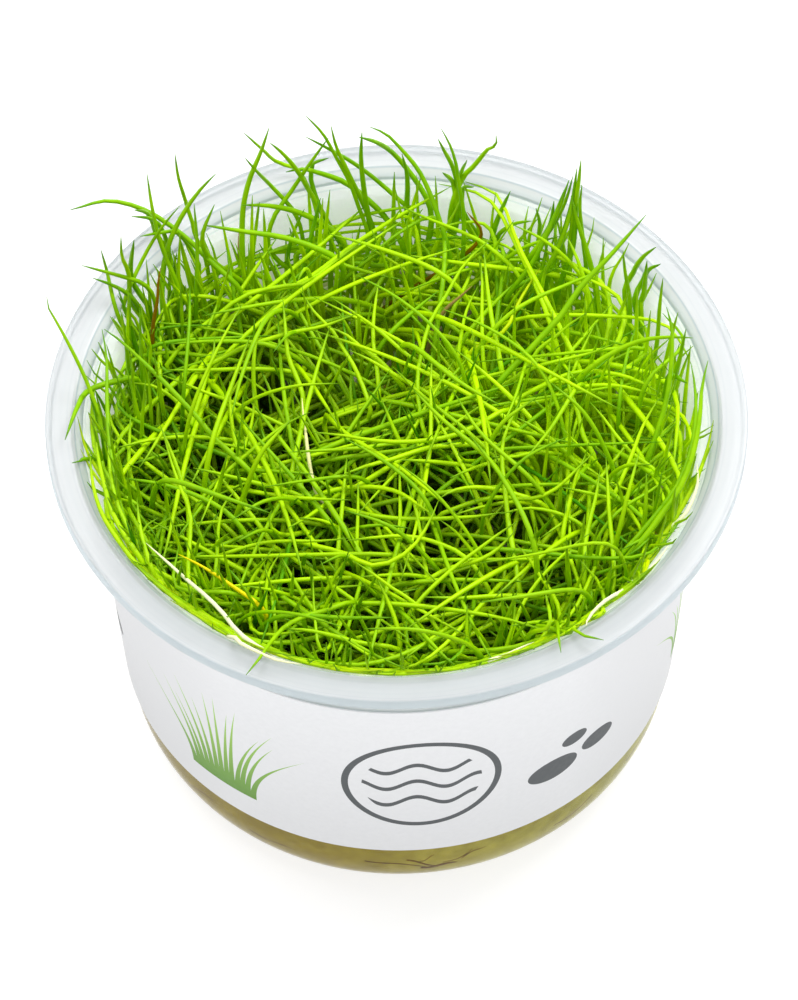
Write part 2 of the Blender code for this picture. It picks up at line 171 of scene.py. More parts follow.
# Blades: how the ordinary ones grow
ROOT_SPREAD = 4.6
ROOT_DEPTH = 0.4
EDGE_FROM = 20.0
EDGE_WIDTH = 14.0
LOOSE_TIPS = 0.2
UPRIGHT_SHARE = 0.42
UPRIGHT_LEAN = (0.02, 0.26)
UPRIGHT_BEND = (0.0, 0.022)
MAT_LENGTHS = (50.0, 88.0)
MAT_LEAN = (0.02, 0.25)
MAT_BEND = (0.02, 0.085)
EDGE_RISE = 2.0
EDGE_NARROWER = 1.5
UPRIGHT_RISE = 3.0
SHORT_POWER = 1.8
BENT_LONGER = 1.04
BEND_START = 0.2
BEND_GROWTH = 1.1
ROOM_SPARE = 0.02
BEND_TURN = 0.9
SWIRL = 0.06
DROOP = (-0.3, 0.05)
CEILING_FADE = 15.0
NO_CEILING = 200.0
STEEPEST = 10.0
LEAST_SPEED = 0.25
TURN_BACK = 1.5
SMOOTHINGS = 6

# Blades: ordinary ones beside the wall and in the sun get a lighter tint as painted light, low ones often
# old
BESIDE_FROM = 12.0
BESIDE_WIDTH = 20.0
BESIDE_THICKER = 0.06
SUN_FROM = 13.0
TINT_MIDDLE = 0.5
TINT_BESIDE = 0.26
TINT_IN_SUN = 0.22
TINT_SPREAD = 0.25
OLD_BELOW = 47.0
OLD_SHARE = 0.35
OLD_WITHER = (0.3, 0.9)

# Blades: the ones swept along the wall
SWEEP_POINTS = 8
SWEEP_ANGLES = (192.0, 338.0)
SWEEP_WIDTH = (18.0, 50.0)
SWEEP_LOW = (47.0, 57.0)
SWEEP_HIGH = (62.0, 64.8)
SWEEP_SHORT = 0.4
SWEEP_WITHER = (0.04, 0.12)

# Blades of the CAD solids: how they are found, and which plantlet a traced blade belongs to
SOLID_SIDES = 3
SOLID_RINGS = 4
FOOT_BAND = 0.5
TIPS_ABOVE_FOOT = 12.0
CLUMP_TIP_MATCH = 7.0
SAME_TIP = 3.5
FEET_RADIUS = 33.0
OVER_RIM_FROM = 41.7
OVER_SKYLINE = 4.0

# Greatest height of the ordinary blades by direction from the tub's middle, in degrees from the right
SKYLINE_ANGLES = (-90.0, -30.0, 0.0, 30.0, 50.0, 90.0, 120.0, 145.0, 180.0, 225.0)
SKYLINE_HEIGHTS = (65.2, 66.0, 67.5, 67.0, 66.0, 66.0, 67.0, 68.5, 69.0, 67.0)
# Where the photograph sees between the blades: middle across, half width, near and far along the
# view at the wall's top, lowest height, share of the blades left out
VIEW_GAPS = (
    (1.0, 10.0, 14.5, 25.5, 36.0, 0.65),
    (-18.0, 5.0, 4.0, 14.0, 40.0, 0.6),
    (11.0, 6.5, -23.0, -11.5, 44.0, 0.72),
    (1.0, 3.5, -17.0, -9.0, 44.0, 0.6),
    (14.0, 6.0, 36.0, 60.0, 57.0, 0.6),
    (-10.0, 8.0, 38.0, 60.0, 58.0, 0.5),
    (-24.5, 3.5, 29.0, 60.0, 57.0, 0.7),
    (-15.5, 2.5, 32.0, 60.0, 57.0, 0.6),
    (30.0, 4.5, 24.0, 60.0, 57.0, 0.6),
    (39.0, 4.5, -5.0, 24.0, 57.0, 0.5),
    (-40.0, 4.0, 2.0, 24.0, 58.0, 0.4),
)

# Camera found from the photograph's rim and base ellipses
PHOTO_WIDTH = 798
PHOTO_HEIGHT = 1000
FOCAL_PIXELS = 5600.0
SENSOR = 36.0
CAMERA_PLACE = (0.2047, -485.860, 695.201)
CAMERA_PITCH = math.radians(53.31)
CAMERA_ROLL = -0.011927
CAMERA_SEES_FROM = 0.01
CAMERA_SEES_TO = 20.0

# Studio, in metres
FLOOR_SIZE = 6.0
FLOOR_DROP = 0.0002
WORLD_LIGHT = 0.7
LIGHT_AIM = (0.0, 0.0, 0.05)
SOFTBOX_SIZE = 0.45
SOFTBOXES = (
    ("upper_left_softbox", (-0.35, 0.15, 0.95), 5.0),
    ("upper_right_softbox", (0.45, 0.35, 0.85), 7.5),
)

# Blades that make the outline: height at the low end, height at the tip, then the picture
# points from the tip to where the blade goes down into the thicket
TRACED_BLADES = (
    # left
    (61, 76, ((42, 297), (66, 339), (88, 385), (99, 416), (103, 441))),
    (62, 66, ((65, 440), (77, 408), (88, 391), (98, 386), (113, 382), (128, 378))),
    (66, 72, ((82, 265.5), (106, 272), (124, 277), (140, 282))),
    (66, 70, ((92.6, 278), (112, 285), (122, 290))),
    (62, 73, ((101, 250), (108, 276), (113, 299))),
    (62.5, 76, ((121, 237), (122, 257), (128, 271), (130, 299))),
    (64, 74, ((134, 240), (130.5, 274))),
    (59, 68, ((104, 329), (122, 342), (138, 357), (166, 384), (182, 401), (198, 418), (214, 438),
        (234, 456), (256, 478))),
    (60, 68, ((102, 329), (106, 352), (107, 400), (110, 450), (119, 500), (128, 530), (142, 556))),
    (62, 66, ((72, 463), (85.5, 459))),
    # back left
    (60, 74.5, ((70, 210), (113, 201), (147, 211), (171, 226), (191, 242), (213, 264), (235, 283))),
    (61, 78, ((147, 174), (152, 207), (159, 238), (166, 258), (177, 285))),
    (61, 79, ((175, 154), (178, 176), (185.5, 201), (191, 220), (195, 235))),
    (60, 76.5, ((215.6, 174), (200, 190), (185.5, 210), (171, 238), (165, 258), (162, 293))),
    (60, 75, ((179.6, 206), (162, 227), (147, 251), (136, 273), (125, 299))),
    (68, 72, ((214.5, 204.6), (203, 232))),
    (70, 73, ((131.5, 216.4), (152, 219))),
    (70, 74, ((134.4, 210), (147, 213))),
    (62, 72, ((140, 236.5), (159, 233), (177, 232.5), (191, 249))),
    (58, 72, ((194, 203), (197, 242), (196, 299))),
    (60, 66, ((177, 252), (174, 271))),
    (60, 69, ((203, 225), (241, 231), (293, 240), (337, 259))),
    (57, 67, ((242, 205), (271, 206), (302, 213.6), (323, 224), (340, 237))),
    # back
    (58, 77, ((244, 133), (262, 149), (282, 164), (296, 168), (308, 187))),
    (56, 79, ((269, 128), (262, 149), (249, 181), (243.5, 205), (242, 237), (243.5, 271))),
    (58, 76, ((245, 158), (255, 169.5), (276, 191), (290, 206))),
    (56, 77, ((270, 143), (279, 150), (296, 169), (314, 199), (326, 218))),
    (56, 79.2, ((306, 116), (323, 134), (337, 159), (349, 181), (359, 208), (368, 234))),
    (56, 77, ((331, 126), (336, 146), (346, 168), (372, 225))),
    (57, 75.5, ((306, 137), (329, 149), (352, 162), (374, 178), (396, 197), (409, 208))),
    (55, 75, ((328.6, 137.6), (311, 162), (290, 193), (274, 216.5), (268, 237))),
    (66, 70, ((328.6, 158), (311, 165))),
    (55, 69, ((286, 172), (302, 169), (323, 174), (346, 183), (367, 199), (389, 222), (400, 240))),
    (56, 76, ((362, 132), (361, 156), (364.5, 193), (371, 230))),
    (54, 76.5, ((359, 137), (378, 143), (396, 156), (411, 174), (427, 199))),
    (58, 74.5, ((370, 127), (386, 134), (402, 150), (418, 169.5), (431, 196), (440, 222),
        (449, 252))),
    (56, 72, ((402, 154), (407, 175), (407, 215))),
    (56, 76, ((441, 128.5), (450, 145), (456, 164), (459, 184), (463, 208), (463, 252))),
    (60, 75, ((438, 139), (444, 150.5), (453, 168), (459, 190))),
    (60, 74.5, ((496, 135), (496, 145), (488, 149), (482, 156), (473, 167), (464.5, 175),
        (460, 183))),
    (62, 72, ((467, 160), (460, 177))),
    (62, 70, ((442.5, 172.5), (454, 184))),
    (62, 68, ((474, 187), (463, 189))),
    # back right
    (58, 65.5, ((510.5, 191), (501, 211), (494, 230))),
    (58, 64, ((531.6, 221), (514, 224), (501, 232))),
    (60, 66, ((536, 208), (540, 225))),
    (55, 73.5, ((573, 176), (566, 200), (554, 224), (535, 250), (524, 268))),
    (55, 77, ((581, 160), (579, 180), (575, 205), (571, 240), (569, 281))),
    (56, 74, ((582, 184), (580, 206), (583, 240), (586, 274))),
    (56, 73, ((569, 180), (562, 200), (548, 232), (517, 277))),
    (58, 70, ((554, 201), (551, 222), (538, 250))),
    (56, 75, ((577, 168), (572, 203), (562, 238), (549, 276))),
    (56, 74, ((580, 172), (576, 210), (573, 246), (560, 284))),
    (56, 72, ((574, 186), (570, 214), (557, 250), (534, 290))),
    (56, 71, ((571, 196), (579, 226), (590, 262), (596, 290))),
    (56, 72, ((564, 190), (552, 222), (533, 262), (508, 296))),
    (58, 76, ((646, 215), (608, 258), (579, 289), (560, 317), (545, 333), (528, 352), (508, 372),
        (492, 392))),
    (62, 72, ((656, 247), (643, 257), (633, 273))),
    (64, 70, ((660.5, 264), (646, 273))),
    (60, 71, ((623, 251), (625, 271), (630, 301))),
    (60, 70, ((647, 261), (644, 293))),
    # right
    (58, 74, ((663, 278), (660, 303), (656, 349))),
    (58, 73, ((666.5, 307), (672, 329), (672, 349), (668.5, 389), (664, 410), (656, 436),
        (648, 458))),
    (60, 71, ((686, 329), (681, 353), (672, 389))),
    (61, 70, ((692.7, 338), (672, 337), (640, 341), (616, 351), (584, 373))),
    (62, 68, ((687, 383), (670, 377))),
    (58, 70, ((691, 363), (695, 387), (696, 409), (694, 435), (687, 463), (676, 488), (658, 512),
        (640, 534), (622, 554))),
    (59, 73, ((708, 360.5), (702, 387), (700, 415), (696, 441), (688, 470), (678, 492), (662, 514),
        (646, 536), (630, 554))),
    # over the front of the rim
    (59, 66.4, ((246, 675), (262, 655), (274, 638), (286, 626), (306, 616), (324, 611),
        (352, 602))),
    (60, 66.4, ((603.6, 640), (585, 636), (566, 633), (540, 626))),
    (61, 66.2, ((561, 652.7), (559, 640), (556, 622))),
)

# Bright blades that cross over the mat, written the same way
MAT_BLADES = (
    # over the back
    (58, 64, ((450, 187), (381, 227), (352, 246), (326, 266), (299, 284), (243, 294))),
    (57, 65, ((400, 206), (429, 219), (459, 231), (482, 242), (495, 252), (511, 266), (522, 281))),
    (58, 65, ((495, 235), (463, 266), (447, 294), (430, 322), (422, 350), (418, 372), (420, 412),
        (424, 432))),
    (57, 63.5, ((362, 241), (330, 265), (306, 283), (276, 287), (240, 298), (218, 315), (198, 330),
        (166, 366))),
    (58, 63.5, ((356, 314), (324, 326), (290, 333), (266, 340), (242, 348), (222, 358), (206, 367),
        (190, 380))),
    (58, 63, ((332, 298), (356, 314), (376, 328), (390, 340), (406, 354), (418, 362), (440, 378))),
    (57, 62, ((349, 350), (370, 360), (390, 372), (408, 382), (436, 400))),
    (57, 62.5, ((330, 327), (348, 336), (364, 350), (376, 358), (396, 378))),
    (57, 62.5, ((300, 290), (316, 314), (332, 330), (344, 350), (354, 366), (362, 384),
        (370, 408))),
    (57, 62, ((379, 280), (375, 306), (373, 328), (374, 348), (377, 370), (379, 392))),
    (58, 64, ((481, 262), (482, 280), (482, 320), (484, 366))),
    (58, 64, ((484, 250), (487, 284), (492, 320), (498, 350), (502, 372))),
    (57, 62.5, ((432, 352), (431, 380), (431, 420), (430, 450), (424, 480), (416, 510))),
    (57, 61.5, ((478, 286), (466, 312), (461, 336), (458, 360))),
    # left
    (57, 63.5, ((214.6, 336), (214, 350), (208, 372), (201, 394), (194, 416), (187, 434),
        (176, 458))),
    (57, 62.5, ((160, 374), (190, 386), (210, 394), (230, 401), (254, 412), (280, 424),
        (302, 436))),
    (57, 62, ((164, 370), (210, 370), (250, 369), (286, 371), (310, 376))),
    (57, 62.5, ((229.5, 381), (230, 400), (232, 424), (238, 452), (250, 474))),
    (58, 63.5, ((283, 300), (286, 336), (288, 356), (296, 376), (303, 396), (303, 412))),
    (57, 63, ((252.5, 387), (254, 406), (250, 430), (241, 456), (228, 480))),
    (57, 63.5, ((159.5, 424), (168, 444), (176, 464), (183, 486), (188, 506), (189, 530),
        (190, 556))),
    (58, 62.5, ((130.6, 414), (129.5, 440), (129, 464), (134, 490))),
    (57, 62.5, ((310, 412), (286, 424), (262, 442), (240, 460), (220, 478), (204, 496),
        (192, 516))),
    (57, 62, ((116, 448), (150, 440), (180, 437), (210, 438), (240, 442), (262, 449))),
    (57, 62, ((193, 468), (212, 472), (232, 477), (260, 484), (290, 492), (316, 504))),
    (57, 61.5, ((126, 382), (158, 388), (176, 401), (190, 420))),
    (63, 65, ((95, 430), (98, 456), (104, 484), (112, 512), (124, 534), (136, 552))),
    (63, 65, ((90, 450), (91, 470), (95, 494), (104, 518), (118, 540), (134, 562))),
    (62, 64.5, ((108, 436), (110, 470), (116, 500), (127, 526), (142, 552))),
    (62, 64.5, ((137, 498), (139, 520), (144, 545), (153, 572))),
    (61, 64, ((158, 518), (146, 526), (140, 538), (141, 552), (150, 570))),
    (62, 64, ((163, 433), (172, 464), (182, 492), (190, 512), (190, 540), (188, 570), (192, 598))),
    # middle
    (58, 64, ((438.5, 500.5), (434, 512), (428, 524), (421, 537), (410, 549), (399, 558),
        (378, 565.5), (340, 552), (315, 546), (298, 541))),
    (57, 63, ((456, 513), (440, 500), (420, 484), (400, 468), (380, 455), (360, 443), (341, 430),
        (328, 416))),
    (57, 62.5, ((434, 516), (420, 506), (398, 492), (380, 487.6), (360, 487), (340, 489),
        (318, 496))),
    (58, 62.5, ((440, 498), (452, 491), (468, 487.6), (484, 487.6), (500, 490), (514, 494),
        (540, 503))),
    (57, 63.5, ((594, 452), (576, 470), (554, 490), (540, 497), (520, 499), (500, 497), (480, 500),
        (460, 507), (440, 515))),
    (57, 62.5, ((504, 512), (480, 516), (460, 517.6), (420, 519), (390, 518), (360, 513),
        (340, 508))),
    (57, 63, ((521, 400), (510, 422), (503, 441), (502, 463), (504, 480), (506, 500), (509, 526),
        (514, 554), (520, 594))),
    (57, 63.5, ((518, 521), (500, 533), (480, 548), (460, 563), (440, 580), (420, 600),
        (408, 616))),
    (57, 62.5, ((514, 532), (500, 547), (484, 558), (466, 564), (446, 570), (424, 584))),
    (57, 62, ((344, 541), (360, 539), (380, 537), (400, 536), (420, 538), (440, 544), (458, 552),
        (470, 562), (488, 588))),
    (57, 62, ((440, 520), (456, 532), (468, 546), (480, 562))),
    (57, 62, ((399, 462), (400, 490), (400, 520), (398, 540), (395, 560))),
    (57, 62, ((406, 480), (416, 510), (422, 544), (428, 580))),
    (57, 61.5, ((382, 400), (390, 420), (396, 434), (406, 454))),
    (57, 61.5, ((358, 480), (358, 510), (357, 540), (357, 562))),
    (58, 62.5, ((310, 432), (340, 435), (370, 440), (400, 442), (430, 440), (452, 436), (472, 428),
        (510, 408))),
    (57, 62, ((290, 452), (330, 450), (360, 448), (400, 444))),
    (57, 62.5, ((340, 476), (366, 466), (390, 460), (408, 454), (428, 448), (460, 445),
        (500, 446))),
    (57, 62, ((400, 460), (424, 461), (452, 464), (476, 468))),
    (57, 61.5, ((458, 449), (459, 455), (464, 460), (474, 461))),
    (57, 62, ((450, 478), (474, 468), (500, 460), (526, 454))),
    # front
    (57, 63.5, ((352, 560), (376, 576), (392, 588), (408, 598), (420, 608), (432, 620), (438, 630),
        (452, 642))),
    (57, 62, ((378, 580), (390, 606), (398, 630), (400, 646))),
    (57, 62.5, ((592, 532), (580, 540), (560, 558), (544, 574), (530, 592), (520, 610), (512, 632),
        (506, 652))),
    (57, 63, ((515, 604), (514, 620), (508, 642), (504, 656))),
    (57, 62.5, ((516, 544), (530, 560), (540, 576), (550, 590), (558, 606), (560, 622))),
    (57, 62, ((424, 597), (460, 598), (500, 596), (540, 597))),
    (57, 62, ((360, 577), (390, 575), (410, 575), (428, 578))),
    (57, 62, ((467, 604), (467, 622), (468, 640), (476, 652))),
    (57, 62.5, ((272, 510), (269, 517), (271, 527), (280, 534), (296, 534), (308, 532))),
    (57, 62.5, ((350, 538), (320, 541), (290, 541), (262, 543), (240, 549), (212, 559))),
    (57, 62, ((350, 500), (320, 499), (280, 496), (250, 491), (222, 487))),
    (57, 62, ((274, 546), (262, 564), (252, 580), (244, 598))),
    (57, 62.5, ((281, 552), (270, 570), (266, 590), (266, 610), (270, 632))),
    (57, 62.5, ((282, 558), (294, 580), (306, 600), (318, 616), (328, 636))),
    (57, 62, ((246, 586), (270, 590), (290, 596), (306, 604))),
    (57, 62, ((236, 490), (224, 504), (219, 524), (217, 556), (214, 590))),
    (57, 62, ((288, 528), (306, 518), (322, 507), (344, 493))),
    (57, 61.5, ((298, 518), (320, 520), (340, 528), (352, 534))),
    (57, 61.5, ((350, 554), (338, 572), (326, 592))),
    (58, 62.5, ((280, 629), (306, 630), (330, 635), (360, 643), (394, 648))),
    (58, 62, ((340, 636), (360, 650), (380, 661), (400, 668))),
    # right
    (58, 64, ((659, 398), (651, 411), (642, 428), (634.6, 448), (627, 467), (618, 487),
        (610, 502))),
    (57, 63, ((660, 393), (631, 378), (610, 373), (588, 371), (566, 375), (544, 385), (523, 396),
        (502, 410))),
    (57, 62, ((657, 396), (620, 386), (599, 385), (577, 388), (544, 400), (518, 406))),
    (57, 62.5, ((616, 343), (594, 352), (566, 359), (533, 368), (512, 380), (490, 393))),
    (57, 63.5, ((586.7, 313), (570, 324), (555, 337), (538, 350), (529, 365), (518, 382))),
    (57, 62, ((570, 358), (569, 387), (577, 409), (583, 435), (594, 456))),
    (57, 62, ((515, 417), (533, 426), (551, 439), (570, 456), (580, 468))),
    (57, 61.5, ((490, 457), (512, 457), (540, 452), (562, 455))),
    (57, 62, ((589, 401), (603, 417), (616, 435), (631, 452), (651, 467), (672, 486))),
    (57, 61.5, ((561, 427), (581, 448), (600, 467))),
    (57, 62.5, ((586, 454), (577, 474), (570, 500), (564, 526), (562, 542))),
    (57, 62, ((600, 470), (596, 496), (590, 520), (586, 540), (584, 580))),
    (57, 62.5, ((606, 458), (608, 490), (609, 510), (612, 540), (614, 572))),
    (57, 62, ((580, 560), (590, 572), (600, 584), (604, 600), (604, 616))),
    (57, 61.5, ((500, 514), (530, 508), (550, 511), (570, 518), (590, 532))),
    (57, 61.5, ((560, 487), (580, 491), (600, 496), (620, 500), (648, 507))),
    (57, 61.5, ((510, 626), (540, 622), (574, 624))),
)

# Old blades: how withered, then the same as above
OLD_BLADES = (
    (1.0, 62, 70, ((160.6, 268), (158, 284), (157.6, 299), (154, 318))),
    (0.9, 60, 64, ((245, 196), (243, 212), (241, 226))),
    (0.4, 57, 61.5, ((302, 398), (303, 412), (305, 428), (309, 460), (314, 486))),
    (0.28, 61, 64.5, ((178, 554), (196, 563), (216, 575), (238, 590), (258, 604))),
    (0.12, 58, 61, ((540, 268), (520, 300), (505, 330), (470, 352))),
    (0.95, 61, 65, ((467, 212), (473, 219), (480, 227))),
    (0.92, 58, 61, ((472, 286), (461, 296), (450, 305))),
    (0.5, 63, 64.5, ((146, 543), (165, 560), (186, 579), (206, 596), (222, 612), (238, 632),
        (262, 650))),
    (0.55, 61.5, 62.5, ((302, 664), (280, 661), (262, 654), (244, 645), (228, 636))),
    (0.5, 61.5, 62.5, ((534, 642), (520, 648), (508, 654), (490, 660))),
    (0.5, 62, 63, ((586, 626), (594, 611), (606, 600), (620, 592))),
    (0.5, 62, 63.5, ((697, 464), (698, 480), (694, 496), (687, 512))),
    (0.5, 62, 63.5, ((668, 546), (658, 560), (646, 574))),
)


# Shapes shared by the tub, the band and the gel


def wall_radius(height):
    """Outer radius of the tub's slightly spreading wall."""
    share = (height - CORNER_HEIGHT) / (WALL_TOP - CORNER_HEIGHT)
    return FLOOR_RADIUS + CORNER_WIDTH + WALL_SPREAD * share


def base_corner(inset, steps):
    """Quarter ellipse between the flat floor and the wall, moved in by an inset."""
    points = []
    for step in range(steps + 1):
        turn = 0.5 * math.pi * step / steps
        radius = FLOOR_RADIUS + (CORNER_WIDTH - inset) * math.sin(turn)
        height = CORNER_HEIGHT - (CORNER_HEIGHT - inset) * math.cos(turn)
        points.append((radius, height))
    return points


def open_edit(piece, corner_type="VERT"):
    """Make a piece the only selected and active one, and enter edit mode."""
    bpy.ops.object.select_all(action="DESELECT")
    piece.select_set(True)
    bpy.context.view_layer.objects.active = piece
    bpy.ops.object.mode_set(mode="EDIT")
    bpy.ops.mesh.select_mode(type=corner_type)


def settle(piece, name):
    """Leave edit mode, name the piece and put its place into its mesh."""
    bpy.ops.object.mode_set(mode="OBJECT")
    bpy.ops.object.transform_apply(location=True, rotation=True, scale=True)
    piece.name = name
    piece.data.name = name
    return piece


def round_edges(piece, width, angle):
    """Round the edges that are sharper than an angle, with a bevel that is applied."""
    modifier = piece.modifiers.new("rounding", "BEVEL")
    modifier.width = width * MM
    modifier.segments = 3
    modifier.limit_method = "ANGLE"
    modifier.angle_limit = angle
    modifier.harden_normals = False
    bpy.context.view_layer.objects.active = piece
    bpy.ops.object.modifier_apply(modifier=modifier.name)


def draw_ring(start, end):
    """Extrude the selected ring from one radius and height to the next."""
    rise = (end[1] - start[1]) * MM
    widen = end[0] / start[0]
    bpy.ops.mesh.extrude_edges_move(TRANSFORM_OT_translate={"value": (0.0, 0.0, rise)})
    bpy.ops.transform.resize(value=(widen, widen, 1.0), center_override=(0.0, 0.0, 0.0))


def turned_piece(name, profile, hollow=False):
    """Draw a ring out along a profile of radius and height pairs, ring by ring.

    A hollow profile comes back to its first ring, any other ends in a closed middle.
    """
    radius, height = profile[0]
    bpy.ops.object.select_all(action="DESELECT")
    bpy.ops.mesh.primitive_circle_add(
        vertices=ROUND_SIDES,
        radius=radius * MM,
        fill_type="NOTHING" if hollow else "TRIFAN",
        location=(0.0, 0.0, height * MM),
    )
    piece = bpy.context.object
    open_edit(piece)
    if not hollow:
        bpy.ops.mesh.select_all(action="DESELECT")
        bpy.ops.mesh.select_non_manifold()
    for start, end in zip(profile, profile[1:]):
        draw_ring(start, end)
    if hollow:
        draw_ring(profile[-1], profile[0])
    else:
        bpy.ops.mesh.extrude_edges_move()
        bpy.ops.mesh.merge(type="CENTER")
    bpy.ops.mesh.select_all(action="SELECT")
    bpy.ops.mesh.remove_doubles(threshold=TINY)
    bpy.ops.mesh.normals_make_consistent(inside=False)
    return settle(piece, name)


def shade_round(piece, angle=35.0):
    """Smooth shading with the sharp edges kept."""
    bpy.ops.object.select_all(action="DESELECT")
    piece.select_set(True)
    bpy.context.view_layer.objects.active = piece
    bpy.ops.object.shade_smooth_by_angle(angle=math.radians(angle))


# Shader nodes


class Recipe:
    """Adds and joins the nodes of one material or node group."""

    def __init__(self, tree):
        self.tree = tree

    def feed(self, socket, value):
        """Set a socket to a value or a colour, or join it to another socket."""
        if isinstance(value, bpy.types.NodeSocket):
            self.tree.links.new(value, socket)
        else:
            socket.default_value = (*value, 1.0) if isinstance(value, tuple) else value

    def fill(self, node, **inputs):
        """Give a node's inputs by their names, with _ for a blank."""
        for name, value in inputs.items():
            self.feed(node.inputs[name.replace("_", " ")], value)
        return node

    def add(self, kind, **inputs):
        """New node with its inputs."""
        return self.fill(self.tree.nodes.new(kind), **inputs)

    def group(self, tree, **inputs):
        """Output of a placed node group."""
        node = self.tree.nodes.new("ShaderNodeGroup")
        node.node_tree = tree
        return self.fill(node, **inputs).outputs[0]

    def attribute(self, name):
        """Value that each corner point of the mesh carries."""
        node = self.tree.nodes.new("ShaderNodeAttribute")
        node.attribute_name = name
        return node.outputs["Fac"]

    def axes(self, place):
        """The three coordinates of a place."""
        return self.add("ShaderNodeSeparateXYZ", Vector=place).outputs

    def math(self, operation, first, second=0.0, third=0.0):
        """One sum on numbers or sockets."""
        node = self.tree.nodes.new("ShaderNodeMath")
        node.operation = operation
        for socket, value in zip(node.inputs, (first, second, third)):
            self.feed(socket, value)
        return node.outputs["Value"]

    def distance(self, first, second):
        """Size of the difference of two values."""
        return self.math("ABSOLUTE", self.math("SUBTRACT", first, second))

    def largest(self, values):
        """Largest of several values, which joins masks."""
        total = values[0]
        for value in values[1:]:
            total = self.math("MAXIMUM", total, value)
        return total

    def spread(self, value, low, high, start=0.0, end=1.0):
        """Value between low and high turned into one between start and end, and held there."""
        node = self.add(
            "ShaderNodeMapRange",
            Value=value,
            From_Min=low,
            From_Max=high,
            To_Min=start,
            To_Max=end,
        )
        return node.outputs["Result"]

    def mix(self, share, first, second):
        """Colour between two colours."""
        node = self.tree.nodes.new("ShaderNodeMix")
        node.data_type = "RGBA"
        sockets = (node.inputs[0], node.inputs[6], node.inputs[7])
        for socket, value in zip(sockets, (share, first, second)):
            self.feed(socket, value)
        return node.outputs[2]


def new_group(name, inputs, output):
    """Empty shader node group with one value as its output; an input without a value is a vector."""
    tree = bpy.data.node_groups.new(name, "ShaderNodeTree")
    for label, value in inputs.items():
        kind = "NodeSocketVector" if value is None else "NodeSocketFloat"
        socket = tree.interface.new_socket(label, in_out="INPUT", socket_type=kind)
        if value is not None:
            socket.default_value = value
    tree.interface.new_socket(output, in_out="OUTPUT", socket_type="NodeSocketFloat")
    start = tree.nodes.new("NodeGroupInput")
    end = tree.nodes.new("NodeGroupOutput")
    return Recipe(tree), start.outputs, end.inputs[output]


def mottle_group():
    """Soft random patches between a low and a high value, as large as asked in millimetres."""
    inputs = {"Place": None, "Size": 1.0, "Low": 0.0, "High": 1.0}
    recipe, given, out = new_group("soft mottle", inputs, "Value")
    scale = recipe.math("DIVIDE", 1.0 / MM, given["Size"])
    noise = recipe.add("ShaderNodeTexNoise", Vector=given["Place"], Scale=scale, Detail=3.0)
    recipe.feed(out, recipe.spread(noise.outputs["Fac"], 0.3, 0.7, given["Low"], given["High"]))
    return recipe.tree


def reed_group():
    """Mask of one leaning reed stroke that narrows to its tip, in millimetres."""
    names = ("Across", "Up", "Start", "Foot", "Tall", "Lean", "Width")
    recipe, given, out = new_group("reed stroke", dict.fromkeys(names, 1.0), "Mask")
    share = recipe.math("DIVIDE", recipe.math("SUBTRACT", given["Up"], given["Foot"]), given["Tall"])
    curve = recipe.math("POWER", recipe.spread(share, 0.0, 1.0), 2.0)
    middle = recipe.math("ADD", given["Start"], recipe.math("MULTIPLY", curve, given["Lean"]))
    half = recipe.math("MULTIPLY", recipe.math("SUBTRACT", 1.0, share), given["Width"])
    inside = recipe.math("LESS_THAN", recipe.distance(given["Across"], middle), half)
    above = recipe.math("GREATER_THAN", share, 0.0)
    recipe.feed(out, recipe.math("MULTIPLY", inside, above))
    return recipe.tree


def oval_group():
    """How far a point is from an oval's middle, where 1 is on the oval."""
    names = ("Across", "Up", "Middle", "Height", "Wide", "Tall")
    recipe, given, out = new_group("oval reach", dict.fromkeys(names, 1.0), "Reach")
    side = recipe.math("DIVIDE", recipe.math("SUBTRACT", given["Across"], given["Middle"]), given["Wide"])
    rise = recipe.math("DIVIDE", recipe.math("SUBTRACT", given["Up"], given["Height"]), given["Tall"])
    total = recipe.math("ADD", recipe.math("POWER", side, 2.0), recipe.math("POWER", rise, 2.0))
    recipe.feed(out, recipe.math("SQRT", total))
    return recipe.tree


def new_material(name):
    """Material with a Principled shader, its recipe and the object's own coordinates."""
    material = bpy.data.materials.new(name)
    material.use_nodes = True
    recipe = Recipe(material.node_tree)
    shader = material.node_tree.nodes["Principled BSDF"]
    place = recipe.add("ShaderNodeTexCoord").outputs["Object"]
    return material, recipe, shader, place


def rough_surface(recipe, shader, height, strength, distance):
    """Bump from a height value."""
    bump = recipe.add("ShaderNodeBump", Strength=strength, Distance=distance * MM, Height=height)
    recipe.fill(shader, Normal=bump.outputs["Normal"])


def turned_place(recipe, place):
    """Distance from the tub's axis and height above its base, in millimetres."""
    axes = recipe.axes(place)
    squares = [recipe.math("POWER", axes[name], 2.0) for name in "XY"]
    radius = recipe.math("DIVIDE", recipe.math("SQRT", recipe.math("ADD", *squares)), MM)
    return radius, recipe.math("DIVIDE", axes["Z"], MM)


